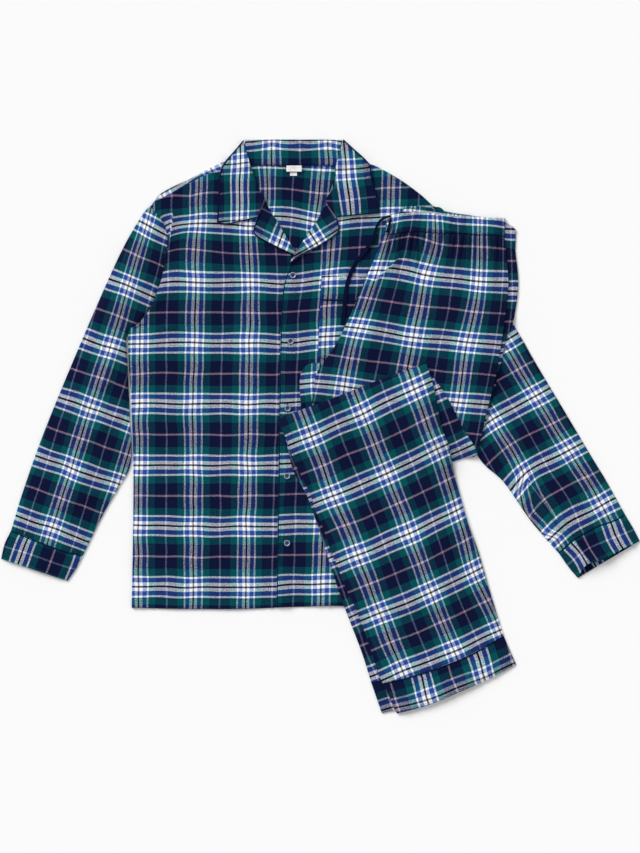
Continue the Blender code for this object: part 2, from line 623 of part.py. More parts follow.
def make_trousers(cloth, piping, tie):
    """The trousers, folded in three: thighs below, the fold, and the lower legs on top."""
    shirt = tuple(PILE.tops)
    under = patch(
        run(UNDER_THIGH_END, UNDER_COLUMNS), run(UNDER_THIGH_TOP, UNDER_COLUMNS),
        run(UNDER_THIGH_LEFT, THIGH_STEPS), run(UNDER_THIGH_RIGHT, THIGH_STEPS),
    )
    sheet("trouser_under_thigh", under, shirt, cloth, wall=DOUBLE)
    band = shrunk(band_of(UNDER_THIGH_TOP, UNDER_BAND_TOP, UNDER_BAND_STEPS), end=GAP)
    sheet("trouser_under_waistband", band, shirt, cloth, wall=DOUBLE)
    pile = (*shirt, "trouser_under_thigh", "trouser_under_waistband")
    thigh = patch(
        run(THIGH_END, THIGH_COLUMNS), run(THIGH_TOP, THIGH_COLUMNS),
        run(THIGH_LEFT, THIGH_STEPS), run(THIGH_RIGHT, THIGH_STEPS),
    )
    u = np.linspace(0, 1, THIGH_COLUMNS + 1)[None]
    from_band = np.linalg.norm(thigh - thigh[-1:], axis=2)
    gathered = GATHER_DEPTH * (0.5 - 0.5 * np.cos(2 * math.pi * GATHERS * u))
    gathered = gathered * np.clip(1 - from_band / GATHER_LENGTH, 0, 1)
    sheet("trouser_top_thigh", thigh, pile, cloth, wall=DOUBLE, raised=gathered)
    band = shrunk(band_of(THIGH_TOP, BAND_TOP, THIGH_COLUMNS), end=GAP)
    waves = BAND_WAVE_DEPTH * (0.5 - 0.5 * np.cos(2 * math.pi * BAND_WAVES * u))
    sheet("trouser_top_waistband", band, pile, cloth, wall=DOUBLE, raised=waves)
    pile = (*pile, "trouser_top_thigh", "trouser_top_waistband")
    fold = patch(
        run(FOLD_END, FOLD_COLUMNS), run(FOLD_TOP, FOLD_COLUMNS),
        run(FOLD_LEFT, FOLD_ROWS), run(FOLD_RIGHT, FOLD_ROWS),
    )
    sheet("trouser_fold", fold, pile, cloth, wall=2 * DOUBLE)
    pile = (*pile, "trouser_fold")
    make_lower_leg(
        "under", UNDER_SHIN_END, UNDER_SHIN_TOP, UNDER_SHIN_LEFT, UNDER_SHIN_RIGHT, UNDER_HEM_END, pile,
        cloth, piping,
    )
    upper = (*pile, "trouser_under_shin", "trouser_under_hem", "trouser_piping_under_hem")
    make_lower_leg("top", SHIN_END, SHIN_TOP, SHIN_LEFT, SHIN_RIGHT, HEM_END, upper, cloth, piping)
    strip("trouser_tie_near", run(TIE_NEAR, TIE_STEPS), pile, tie, TIE_WIDTH, TIE_HEIGHT)
    strip("trouser_tie_far", run(TIE_FAR, TIE_STEPS // 2), pile, tie, TIE_WIDTH, TIE_HEIGHT)


def make_lower_leg(name, end, top, left, right, hem_end, pile, cloth, piping):
    """A leg from the fold to its hem band, and the band with the piping in its seam."""
    plan = patch(run(end, LEG_COLUMNS), run(top, LEG_COLUMNS), run(left, LEG_STEPS), run(right, LEG_STEPS))
    hem = shrunk(band_of(hem_end, end, LEG_COLUMNS), top=GAP)
    if name == "top":
        tube(f"trouser_{name}_shin", plan, pile, cloth, loft=LEG_LOFT)
        tube(f"trouser_{name}_hem", hem, pile, cloth, loft=HEM_LOFT)
    else:
        sheet(f"trouser_{name}_shin", plan, pile, cloth, wall=DOUBLE)
        sheet(f"trouser_{name}_hem", hem, pile, cloth, wall=DOUBLE)
    seam = shrunk(hem, top=PIPING_IN)[-1]
    strip(f"trouser_piping_{name}_hem", seam, (f"trouser_{name}_hem",), piping)


def clear_scene():
    for old in list(bpy.data.objects):
        bpy.data.objects.remove(old, do_unlink=True)


def main():
    clear_scene()
    bpy.context.scene.collection.children.link(COLLECTION)
    cloth = make_material("flannel_check", (0.10, 0.18, 0.26), 0.95)
    navy = make_material("navy_piping", (0.012, 0.016, 0.05), 0.7)
    white = make_material("white_label", (0.85, 0.83, 0.84), 0.8)
    horn = make_material("navy_button", (0.03, 0.05, 0.10), 0.3)
    tape = make_material("navy_tie", (0.015, 0.02, 0.06), 0.85)
    make_shirt_body(cloth, navy)
    make_arm("right", ARMHOLE, SLEEVE_OUT, SLEEVE_IN, CUFF_OUT, CUFF_IN, cloth, navy)
    make_arm(
        "left", mirrored(ARMHOLE), FAR_SLEEVE_OUT, FAR_SLEEVE_IN, FAR_CUFF_OUT, FAR_CUFF_IN, cloth, navy
    )
    make_collar(cloth, navy)
    make_shirt_trim(cloth, navy, white, horn)
    make_trousers(cloth, navy, tape)


main()
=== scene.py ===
"""A checked flannel pyjama set laid flat, made as cloth over its CAD frame.

The shirt lies on its back and the trousers lie folded across it. Each piece of cloth is
laid on the pieces below it, so its height follows from the pile. All outlines are in
millimetres, in the frame of the CAD model.
"""

import json
import math

import bpy
import numpy as np
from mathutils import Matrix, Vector

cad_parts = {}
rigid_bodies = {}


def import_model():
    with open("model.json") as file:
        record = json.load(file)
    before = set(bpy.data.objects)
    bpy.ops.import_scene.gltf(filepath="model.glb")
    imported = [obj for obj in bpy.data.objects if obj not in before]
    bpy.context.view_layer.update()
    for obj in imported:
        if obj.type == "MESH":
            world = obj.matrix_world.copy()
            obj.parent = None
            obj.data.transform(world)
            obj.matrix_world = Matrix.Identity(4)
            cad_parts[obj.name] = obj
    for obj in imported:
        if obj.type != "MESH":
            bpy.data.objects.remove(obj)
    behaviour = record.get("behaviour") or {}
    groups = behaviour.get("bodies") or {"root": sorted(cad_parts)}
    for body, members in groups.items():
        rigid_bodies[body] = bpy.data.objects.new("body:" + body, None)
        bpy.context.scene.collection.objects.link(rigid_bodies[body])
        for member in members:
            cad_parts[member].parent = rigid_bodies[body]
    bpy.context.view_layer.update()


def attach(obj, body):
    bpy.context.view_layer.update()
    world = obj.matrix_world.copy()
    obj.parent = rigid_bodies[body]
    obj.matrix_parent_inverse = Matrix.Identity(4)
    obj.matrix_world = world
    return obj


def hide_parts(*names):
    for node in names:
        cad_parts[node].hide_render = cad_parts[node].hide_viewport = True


bl_info = {
    "name": "Checked Pyjama Set",
    "version": (1, 0, 0),
    "blender": (4, 5, 0),
    "location": "3D View > Sidebar > Pyjamas",
    "description": "Makes a flannel pyjama set laid flat, piece by piece",
    "category": "Add Mesh",
}

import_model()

MM = 0.001
ROOT = "root"
SHIRT_MIDDLE = -47.5  # X of the shirt's centre line, in mm

# Outlines, each a list of (x, y) in mm
SIDE = [(-320, -308), (-318, -194), (-317, -75), (-320, 19), (-326, 153)]
ARMHOLE = [(-326, 153), (-312, 170), (-288, 202), (-270, 250), (-259, 309), (-266, 345), (-288, 374)]
FAR_ARMHOLE = [(2 * SHIRT_MIDDLE - x, y) for x, y in ARMHOLE]
BACK_HEM = [(-320, -308), (-237, -310), (-132, -310), (-47, -307), (43, -305), (214, -307)]
BACK_TOP = [
    (-288, 374), (-269, 397), (-215, 424), (-162, 450), (-122, 447), (-47, 446),
    (30, 447), (70, 452), (127, 425), (166, 398), (193, 374),
]
RIGHT_SIDE = [(214, -307), (214, -194), (214, -75), (218, 19), (231, 153)]
SHOULDER_SEAM = [
    (-288, 374), (-278, 384), (-256, 391), (-235, 403), (-198, 419), (-172, 428), (-132, 445),
]
UNDER_FRONT_EDGE = [(-52, -306), (-50, 0), (-46, 270), (-80, 334), (-107, 390), (-121, 430), (-132, 456)]
UNDER_FRONT_HEM = [(-320, -308), (-237, -310), (-132, -310), (-52, -306)]
OVER_FRONT_EDGE = [
    (-74, -306), (-71, -126), (-69, 44), (-64, 214), (-50, 275), (-24, 318), (6, 372), (28, 430),
    (36, 456),
]
OVER_FRONT_HEM = [(-74, -306), (43, -305), (214, -307)]
OVER_FRONT_TOP = [(36, 456), (81, 448), (127, 425), (166, 398), (193, 374)]

SLEEVE_OUT = [(-288, 374), (-303, 357), (-341, 289), (-395, 167), (-463, 3), (-502, -105), (-524, -177)]
SLEEVE_IN = [(-328.5, 152), (-327, 100), (-324, 19), (-322, -60), (-344, -105), (-368, -146), (-404, -219)]
WRIST = [(-524, -177), (-493, -190), (-464, -201), (-435, -212), (-404, -219)]
CUFF_OUT = [(-524, -177), (-535, -200), (-541, -225)]
CUFF_IN = [(-404, -219), (-415, -240), (-430, -262)]
FAR_SLEEVE_OUT = [
    (193, 374), (222, 350), (334, 163), (363, 112), (428, 3), (460, -51), (485, -92), (518, -151),
]
FAR_SLEEVE_IN = [(233.5, 152), (243, 60), (267, -45), (313, -94), (354, -153), (379, -184), (407, -215)]
FAR_WRIST = [(518, -151), (502, -160), (474, -170), (454, -180), (431, -194), (407, -215)]
FAR_CUFF_OUT = [(518, -151), (530.5, -172), (542.5, -195)]
FAR_CUFF_IN = [(407, -215), (423, -238), (439, -257)]

FALL_OUT = [(-175, 346), (-172, 400), (-170, 430), (-163, 448), (-148, 466), (-131, 486)]
FALL_IN = [(-107, 354), (-96, 386), (-104, 404), (-110, 420), (-117, 440), (-124, 464), (-130, 487)]
FALL_END = [(-175, 346), (-160, 343), (-138, 347), (-107, 354)]
FAR_FALL_OUT = [(100, 362), (101, 376), (95, 398), (88, 423), (87, 438), (78, 453), (41, 487)]
FAR_FALL_IN = [(29, 355), (10, 382), (18, 398), (27, 416), (26, 438), (32, 460), (39, 487)]
FAR_FALL_END = [(100, 362), (68, 359), (29, 355)]
COLLAR_TOP = [(-128, 487), (-47, 488), (38, 487)]
COLLAR_SEAM = [(-126, 444), (-47, 443), (36, 444)]

LAPEL_OUT = [(-46, 291), (-80, 307), (-112, 327), (-107, 354)]
LAPEL_IN = [(-41, 296), (-51, 313), (-64, 334), (-75, 353), (-80, 358), (-95, 388)]
FAR_LAPEL_OUT = [(-52, 275), (-41, 284), (-34, 289), (-18, 297.5), (4, 309), (32, 330), (29, 354)]
FAR_LAPEL_IN = [
    (-52.5, 276), (-50, 280.5), (-44.5, 292), (-36.6, 303), (-27.5, 317), (-19.6, 330), (-3, 354), (10, 382),
]

POCKET = [(-4, 116), (92, 112), (88, 252), (3, 257)]
POCKET_TRIM = [(3, 215), (45, 214), (86, 212)]
NECK_LABEL = [(-57, 433), (-31, 433), (-31, 443), (-57, 443)]
SIZE_TAB = [(-51, 426), (-39, 426), (-39, 432), (-51, 432)]

# Buttons down the over front: (name, x, y) in mm
BUTTONS = [
    ("top", -46, 257), ("second", -50, 145), ("third", -55, 31), ("fourth", -56, -84),
    ("fifth", -56, -198),
]

UNDER_THIGH_LEFT = [
    (-28, 4), (-31, 29), (-33, 82), (-20, 105), (14, 112), (40, 150), (70, 215), (99, 280), (128, 336),
]
UNDER_THIGH_RIGHT = [(262, -38), (285, 20), (303, 94), (316, 150), (327, 176), (336, 240), (331, 300)]
UNDER_THIGH_END = [(-28, 4), (100, -16), (262, -38)]
UNDER_THIGH_TOP = [(128, 336), (230, 322), (331, 300)]
UNDER_BAND_TOP = [(145, 374), (173, 374), (193, 369), (233, 362), (275, 356), (320, 344), (332, 335)]
THIGH_LEFT = [
    (-13, 40), (-9, 70), (-5, 90), (10, 113), (34, 150), (64, 215), (80, 254), (92, 281), (100, 305),
    (108, 325),
]
THIGH_RIGHT = [(268, -42), (278, 7), (289, 53), (299, 94), (310, 163), (317, 219), (319, 254), (312, 323)]
THIGH_END = [(-13, 40), (120, -4), (268, -42)]
THIGH_TOP = [(108, 325), (160, 329), (233, 326), (312, 323)]
BAND_TOP = [(119, 360), (138, 365), (160, 365), (197, 361), (233, 358), (270, 356), (314, 354)]

FOLD_LEFT = [(-42, -40), (-52, -18), (-60, 6)]
FOLD_RIGHT = [(224, -60), (242, -54), (266, -46), (240, 0), (223, 34), (202, 69), (180, 94)]
FOLD_END = [(-42, -40), (90, -56), (224, -60)]
FOLD_TOP = [(-60, 6), (60, 56), (180, 94)]

SHIN_LEFT = [
    (108, -436), (99, -416), (86, -375), (65, -316), (40, -263), (31, -235), (21, -216), (8, -176),
    (-5, -145), (-15.5, -115), (-32, -80), (-48, -44), (-59, -14), (-71, 12),
]
SHIN_RIGHT = [
    (311, -356), (292, -296), (268, -214), (249, -160), (230, -92), (217, -33), (205, -1), (193, 59),
    (180, 106),
]
SHIN_END = [(108, -436), (167, -421), (244, -392.5), (311, -356)]
SHIN_TOP = [(-71, 12), (-43, 24), (28, 50), (101, 79), (180, 106)]
UNDER_SHIN_LEFT = [
    (88, -435), (71, -381), (42, -305), (12, -215), (-11, -145), (-22, -115), (-42, -80), (-52, -45),
    (-62, 4),
]
UNDER_SHIN_RIGHT = [(298, -350), (280, -286), (258, -206), (238, -144), (206, -33), (186, 50), (170, 92)]
UNDER_SHIN_END = [(88, -435), (190, -410), (298, -350)]
UNDER_SHIN_TOP = [(-62, 4), (50, 52), (170, 92)]
HEM_END = [(131.6, -487.5), (183.6, -473), (236.8, -451), (289.9, -427.6), (332.4, -405)]
UNDER_HEM_END = [(106, -487), (200, -464), (316, -400)]

# Drawstring: its two free ends, each a list of (x, y) in mm from the waistband
TIE_NEAR = [
    (120, 357), (111, 355), (103, 350), (97, 341), (92, 327), (86, 312), (74, 294), (63, 281), (54, 264),
    (48, 248), (44, 228), (42, 208), (40, 190), (38, 172),
]
TIE_FAR = [(146, 350), (131, 352), (119, 349), (118, 343), (116, 336), (113, 329)]  # its start is in the band

# Where the check lies: for each piece, crossings as (warp repeat, weft repeat, x, y), x and y in mm
GRAIN = {
    "shirt_back": [
        (0, -1, -91, 456), (1, -1, 3, 455), (0, -0.5, -89, 405), (0.5, -0.5, -47, 403),
        (1, -0.5, -1, 397), (0, 0, -93, 357), (0.5, 0, -48, 355), (1, 0, -8, 347), (0.5, 4, -47, -63),
        (-2, 4, -280, -63), (3, 4, 188, -63),
        (-1, -1, -188, 442), (-2, -1, -269, 396), (-1, -0.5, -162, 398),
    ],
    "shirt_front_right": [
        (0, -1.5, -206, 396), (0, -1, -208, 345), (1, -1, -122, 341), (0, 0, -211, 245),
        (1, 0, -118, 245), (0, 1, -213, 142), (1, 1, -120, 141), (1.5, 1, -72, 140), (-1, 2, -307, 39),
        (0, 2, -216, 38), (1, 2, -121, 38), (-1, 3, -307, -66), (0, 3, -215, -66), (1, 3, -123, -66),
        (-1, 4, -309, -168), (0, 4, -215, -170), (1, 4, -125, -170), (0, 5, -215, -273),
        (1, 5, -126, -273),
        (-0.5, -1, -253, 339), (-0.72, -1, -271, 328), (-0.5, -0.5, -257, 298), (-0.5, 0, -258, 245),
        (-0.5, 0.5, -260, 194), (-0.5, -1.45, -251.5, 386), (-0.64, -1.5, -264, 390.5),
        (-0.13, -1.5, -218, 393),
    ],
    "shirt_front_left": [
        (1, -1.5, 121, 405), (0, -1, 21, 348), (0.5, -0.5, 68, 305), (-0.5, 0, -30, 245),
        (0, 0, 14, 251), (0.5, 0, 63, 252), (-0.5, 1, -37, 143), (0, 1, 8, 148), (-0.5, 3, -40, -63),
        (-0.5, 5, -45, -269), (0, 5, 2, -268), (3, 2, 290, 44),
        (-0.79, 0.5, -66, 194), (-0.79, 1, -68, 143), (-0.77, 0, -60, 243),
    ],
    "shirt_sleeve_right": [
        (0.43, -1, -268, 328), (0.58, -0.5, -268, 272),
        (0, -1, -294, 343), (0, 0, -325, 238), (0, 1, -356, 134), (0, 2, -390, 31), (0, 3, -422, -71),
        (0, 4, -455, -173), (1, 3, -342, -99), (-1, 1, -438, 162),
    ],
    "shirt_sleeve_left": [
        (0, -1, 310, 144), (0, 0, 366, 51), (0, 1, 422, -41), (0, 2, 479, -134), (-1, 0, 293, 12),
        (-1, 1, 346, -80), (-1.075, 2, 393, -187), (-0.5, 1, 382, -61), (-0.5, 2, 436, -155),
        (-0.75, 2, 413, -168), (-0.84, 1.33, 372.6, -107.6), (-0.84, 1.5, 381, -124),
        (-0.84, 1.84, 401, -154), (-1.1, 1.5, 359, -148.5), (-1.2, 1.54, 356.7, -157.6),
        (-1.35, 1, 324, -107.6),
    ],
    "shirt_cuff_right": [
        (0.5, 0, -505, -213), (0.5, 0.5, -457, -229), (0.5, 1, -409, -245), (0, 0, -488, -170),
        (0, 0.5, -440, -185),
    ],
    "shirt_cuff_left": [
        (0.5, 0, 504, -187), (0.5, 0.5, 457, -206), (0.5, 0.72, 442, -216), (0.5, 0.88, 430, -227),
        (0, 0, 485, -144), (0, 0.5, 437, -163), (0, 0.72, 411, -180), (0, 0.88, 399, -191),
    ],
    "shirt_collar_back": [
        (0, 0, -82, 486), (0, 0.11, -82, 479), (0, 0.16, -82, 471), (0, 0.3, -83, 455),
        (0, 0.5, -83, 435), (0.5, 0, -34, 486), (0.5, 0.11, -34, 479), (0.5, 0.16, -34, 471),
        (0.5, 0.3, -34, 455), (0.5, 0.5, -33, 435), (1, 0, 13, 486), (1, 0.11, 13, 479),
        (1, 0.16, 13, 471), (1, 0.3, 14, 455), (1, 0.5, 14, 435),
    ],
    "shirt_collar_fall_right": [
        (0, 0, -136, 447), (0, 0.5, -136, 397), (0, 1, -137, 350), (-0.5, 0.5, -181, 394),
        (0.5, 0.5, -91, 399),
    ],
    "shirt_collar_fall_left": [
        (0, 0, 44, 436), (0, 0.5, 50, 384), (-0.5, 0, -3, 436), (0.4, 0.5, 89, 390),
        (0, -0.5, 41, 488),
    ],
    "shirt_lapel_right": [
        (0, 0, -73, 305), (1, 0, 18, 260), (0, -1, -36, 391),
    ],
    "shirt_lapel_left": [
        (0, 0, -6, 312), (-1, 0, -93, 260), (0, -1, -55, 392),
    ],
    "trouser_top_thigh": [
        (0, -0.75, 118, 337), (0.5, -0.5, 150, 321), (1, -1, 195, 365), (1, -0.5, 195, 311),
        (2, -1, 271, 359), (2, -0.5, 271, 305), (0, 0.042, 98, 265), (0.3, 0, 122, 269), (1, 0, 178, 257),
        (2, 0, 269, 247), (0.5, 0.5, 123, 211), (1.5, 0.5, 218, 200), (0, 1, 64, 167),
        (0.5, 1, 110, 159), (1, 1, 159, 152), (2, 1, 249, 142), (2.5, 1, 297, 139), (0, 2, 41, 67),
        (2, 2, 235, 41), (2.5, 2, 276, 37),
    ],
    "trouser_under_thigh": [
        (0, 1, -2, 75), (0, 1.5, 4, 24), (3.5, 1, 315, 126), (3.5, 0, 327, 230), (3.5, -1, 324, 335),
        (1, -1.2, 158, 372), (2, -1.2, 228, 362), (3, -1.1, 290, 350),
    ],
    "trouser_fold": [
        (0.5, 0, 200, 63), (0.5, 0.5, 219, 6), (0.5, 1, 238, -40), (1, 1, 276, -25), (0, 0, 156, 46),
    ],
    "trouser_top_shin": [
        (0, 0, -15, -16), (0, 1, 23, -117), (0, 2, 64, -218), (0, 3, 101, -317), (0, 4, 140, -416),
        (1, 0, 73, 22), (1, 1, 113, -80), (1, 2, 152, -181), (1, 3, 188, -282), (1, 4, 228, -381),
        (2, 0, 159, 63), (2, 1, 198, -39), (2, 2, 232, -142), (2, 3, 261, -246), (2.25, 0, 185, 75),
    ],
    "trouser_top_hem": [
        (-0.5, 0, 134.3, -476.9), (0, 0, 181.9, -464.4), (0.5, 0, 232, -442.9), (1, 0, 278.8, -425.9),
        (1.5, 0, 328.1, -402), (-0.5, -0.158, 128.2, -461.5), (0, -0.158, 177.3, -447.2),
        (0.5, -0.158, 225.6, -428.2), (1, -0.158, 274.2, -410.5), (1.5, -0.158, 323.5, -385.5),
        (0, -0.4, 171.7, -423.3),
    ],
}
CROSS_CUT = (  # pieces cut across the cloth: for these, read (weft repeat, warp repeat, x, y)
    "shirt_collar_fall_right", "shirt_collar_fall_left", "shirt_lapel_right", "shirt_lapel_left",
    "trouser_top_hem", "trouser_under_hem",
)
# Pleats: x0, y0, x1, y1, reach in mm, run-out as a share of the line's length, and how many repeats of
# the warp and the weft are folded in, as felt to the line's right
PLEATS = {
    "shirt_front_right": (-251, 352, -257, 310, 40, 0.5, 0, 0.07),
    "shirt_cuff_left": (432.8, -192.7, 466.3, -240.7, 200, 0.8, 0, 0.28),
    "shirt_sleeve_left": (353, -94, 407, -169, 90, 0.2, 0.2, 0),
    "trouser_top_thigh": (132, 285, 96, 248, 60, 0.3, 0, -0.042),
}
GRAIN_OF = {  # pieces cut so that their check runs on from a neighbour's
    "shirt_pocket": "shirt_front_left",
    "trouser_top_waistband": "trouser_top_thigh",
    "trouser_under_waistband": "trouser_under_thigh",
    "trouser_under_shin": "trouser_top_shin",
    "trouser_under_hem": "trouser_top_hem",
}
SHIFTS = {  # how far a piece's check was cut from its neighbour's, in repeats
    "shirt_pocket": (-0.01, 0.045), "trouser_under_shin": (-0.04, 0.12), "trouser_under_hem": (0.1, 0.04),
}

# Soft folds of each piece: (x0, y0, x1, y1, half width, height), all in mm
FOLDS = {
    "trouser_top_thigh": [
        (138, 291, 92, 243, 5, 2.6), (104, 312, 74, 200, 14, 4.0), (130, 250, 60, 90, 24, 3.0),
        (290, 250, 270, 60, 22, 3.0),
    ],
    "shirt_sleeve_left": [
        (346, -84, 410, -173, 6, 3.2), (336, -98, 392, -182, 9, -2.0), (262, 120, 310, 40, 10, 3.4),
        (300, -60, 380, -70, 9, 3.0), (350, 40, 440, -130, 26, 4.0), (330, -70, 400, -180, 16, 4.0),
        (290, -40, 380, 10, 18, 3.0),
    ],
    "shirt_front_right": [
        (-249, 360, -258, 304, 4, 2.6), (-262, 356, -268, 316, 7, -1.8),
        (-300, 190, -262, 232, 9, 3.0), (-286, 158, -240, 176, 8, 2.4),
        (-300, 180, -225, 20, 26, 2.6), (-250, 330, -180, 200, 24, 2.0),
        (-110, 180, -150, -60, 30, 2.4), (-250, -120, -180, -290, 30, 2.4),
    ],
    "shirt_cuff_left": [
        (429, -193, 462, -236, 3.5, 2.4),
    ],
    "shirt_front_left": [
        (206, 160, 168, 186, 9, 3.0), (188, 230, 150, 250, 8, 2.2), (60, 400, 20, 300, 24, 2.2),
        (0, 100, -30, -60, 26, 2.0), (20, -200, 10, -300, 24, 2.0),
    ],
    "shirt_sleeve_right": [
        (-345, 140, -372, 60, 10, 3.4), (-345, 20, -430, -60, 9, 3.0),
        (-370, -110, -450, -140, 8, 2.6), (-310, 300, -400, 60, 26, 4.0),
        (-420, 40, -400, -120, 22, 3.0), (-370, -40, -450, -150, 18, 2.4),
    ],
    "trouser_top_shin": [
        (0, 0, 110, -250, 34, 3.0), (150, 50, 200, -120, 30, 3.0), (180, -180, 240, -330, 30, 3.0),
    ],
}

# The pile
CELL = 2.0  # mm, cell of the height maps
SPAN_X = 1160  # mm, size of the height maps
SPAN_Y = 1040
GAP = 0.3  # mm between pieces
SAG = 0.05  # mm that unheld cloth sinks in each round
ROUNDS = 90  # in which a piece settles on those below it
LIPS = (0.7, 1.8, 3.6)  # mm from an edge, where the cloth is cut finer to round it
KNOT_UNIT = 100  # mm, in which the places of the check's crossings are worked out
UNEVEN = 0.02  # how far the check wanders, in repeats
UNEVEN_WAVE = 75  # mm

# ---------------------------------------------------------------- sizes and colours

def length(name, default, description):
    """A length that the user may change, in metres."""
    return bpy.props.FloatProperty(
        name=name, description=description, default=default * MM, min=0, unit="LENGTH", precision=5
    )


def shade(name, default, description):
    """A colour that the user may change, as it looks on a screen."""
    return bpy.props.FloatVectorProperty(
        name=name, description=description, default=[part / 255 for part in default],
        size=3, min=0, max=1, subtype="COLOR_GAMMA",
    )


class PYJAMA_PG_sizes(bpy.types.PropertyGroup):
    """Sizes of the cloth and its trim."""

    wall: length("Flannel", 1.3, "Thickness of one layer of brushed cotton")
    collar_wall: length("Collar", 2.2, "Thickness of the collar with its interlining")
    piping: length("Piping", 1.6, "Width of the piping")
    button: length("Button", 5.3, "Radius of a button")
    tie: length("Drawstring", 7.0, "Width of the drawstring")
    tie_wall: length("Drawstring thickness", 1.6, "Thickness of the drawstring")


class PYJAMA_PG_colours(bpy.types.PropertyGroup):
    """Colours of the yarns and trims."""

    navy: shade("Navy", (16, 24, 53), "Ground of the check")
    green: shade("Green", (8, 76, 82), "Wide green bars of the check")
    blue: shade("Blue", (40, 72, 148), "Narrow blue bars of the check")
    white: shade("Off-white", (238, 240, 244), "White bars of the check")
    black: shade("Black", (12, 13, 20), "Fine line in the middle of the white bars")
    coral: shade("Coral", (158, 124, 140), "Fine line in the weft")
    mauve: shade("Mauve", (136, 125, 156), "Fine line in the warp")
    piping: shade("Piping", (18, 24, 56), "Piping and sewing thread")
    tie: shade("Drawstring", (13, 20, 46), "Drawstring")
    button: shade("Buttons", (55, 70, 95), "Middle of the buttons")
    # Paler colour of the button rims: a painted highlight of light on the raised rim, not the horn's own
    # colour
    rim_highlight: shade("Button rims", (146, 160, 186), "Paler rim of the buttons")
    label: shade("Labels", (240, 236, 238), "Blank labels in the neck")


# ---------------------------------------------------------------- outlines

def smooth_line(points, density=24):
    """Points along a smooth curve through the given ones."""
    known = [np.array(point, float) for point in points]
    known = [2 * known[0] - known[1], *known, 2 * known[-1] - known[-2]]
    found = []
    for a, b, c, d in zip(known, known[1:], known[2:], known[3:]):
        for t in np.arange(density) / density:
            found.append(b + 0.5 * t * (c - a + t * (2 * a - 5 * b + 4 * c - d + t * (3 * (b - c) + d - a))))
    found.append(known[-2])
    return np.array(found)


def lengths_along(curve):
    """The distance of each point of a curve from its start."""
    return np.concatenate([[0], np.cumsum(np.linalg.norm(np.diff(curve, axis=0), axis=1))])


def line(points, shares):
    """An outline as points at the given shares of its length."""
    curve = smooth_line(points)
    along = lengths_along(curve)
    return np.stack([np.interp(shares * along[-1], along, curve[:, k]) for k in (0, 1)], axis=1)


def shares_of(outlines, cell):
    """Shares of an edge at which the cloth is cut into cells, finer near both ends."""
    size = max(lengths_along(smooth_line(points))[-1] for points in outlines)
    lips = [lip for lip in LIPS if lip < size / 5]
    start = lips[-1] if lips else 0
    middle = np.linspace(start, size - start, max(round((size - 2 * start) / cell), 1) + 1)
    spots = [0, *lips[:-1], *middle, *[size - lip for lip in lips[-2::-1]], size] if lips else middle
    return np.array(spots) / size


def patch(end, top, left=None, right=None, cell=4, fade=1):
    """The plan of a piece from its four edges: plan[row, column] is a point in mm.

    An edge that is None is straight; either both sides or the end and the top have to be given. cell is the
    size of its cells in mm, and fade says how soon the end edge's curve is lost in the rows above it.
    """
    left, right = left or [end[0], top[0]], right or [end[-1], top[-1]]
    end, top = end or [left[0], right[0]], top or [left[-1], right[-1]]
    across = shares_of((end, top), cell)
    along = shares_of((left, right), cell)
    end, top = line(end, across), line(top, across)
    left, right = line(left, along), line(right, along)
    u = across[None, :, None]
    v = along[:, None, None]
    end_curve = end[None] - (1 - u) * end[0] - u * end[-1]
    top_curve = top[None] - (1 - u) * top[0] - u * top[-1]
    straight = (1 - u) * left[:, None] + u * right[:, None]
    return straight + (1 - v) ** fade * end_curve + v * top_curve


def face_up(plan):
    """The plan with its columns ordered so that the cloth's face is up."""
    across = plan[:, -1] - plan[:, 0]
    along = plan[-1] - plan[0]
    middle_across = across[len(across) // 2]
    middle_along = along[len(along) // 2]
    if middle_across[0] * middle_along[1] - middle_across[1] * middle_along[0] < 0:
        return plan[:, ::-1].copy()
    return plan


def edge_distances(plan):
    """How far each point of a plan is from its left, right, end and top edges."""
    across = np.pad(np.cumsum(np.linalg.norm(np.diff(plan, axis=1), axis=2), axis=1), ((0, 0), (1, 0)))
    along = np.pad(np.cumsum(np.linalg.norm(np.diff(plan, axis=0), axis=2), axis=0), ((1, 0), (0, 0)))
    return across, across[:, -1:] - across, along, along[-1:] - along


def unit(ways):
    """Directions made one long."""
    return ways / np.linalg.norm(ways, axis=-1, keepdims=True)


def at_height(flat, height):
    """Points of the plane raised to their heights."""
    return np.concatenate([flat, height[..., None]], axis=-1)


def circle(sides):
    """Points round a circle of radius one."""
    turn = np.linspace(0, 2 * math.pi, sides, endpoint=False)
    return np.stack([np.cos(turn), np.sin(turn)], axis=1)


def ease(value):
    """A smooth step from 0 to 1."""
    value = np.clip(value, 0, 1)
    return value * value * (3 - 2 * value)


# ---------------------------------------------------------------- the pile

def refine(grid, steps):
    """A grid of values with more steps between its own."""
    for axis in (0, 1):
        count = grid.shape[axis]
        places = np.linspace(0, count - 1, (count - 1) * steps + 1)
        low = np.minimum(places.astype(int), count - 2)
        shape = [1] * grid.ndim
        shape[axis] = -1
        part = (places - low).reshape(shape)
        grid = np.take(grid, low, axis) * (1 - part) + np.take(grid, low + 1, axis) * part
    return grid


def finest(plan):
    """How many steps a plan's cells need so that none skips a cell of the height map."""
    largest = max(np.linalg.norm(np.diff(plan, axis=k), axis=2).max() for k in (0, 1))
    return int(math.ceil(largest / (0.7 * CELL)))


def widened(values):
    """Each cell takes the highest value beside it."""
    for axis in (0, 1):
        values = np.maximum(values, np.maximum(np.roll(values, 1, axis), np.roll(values, -1, axis)))
    return values


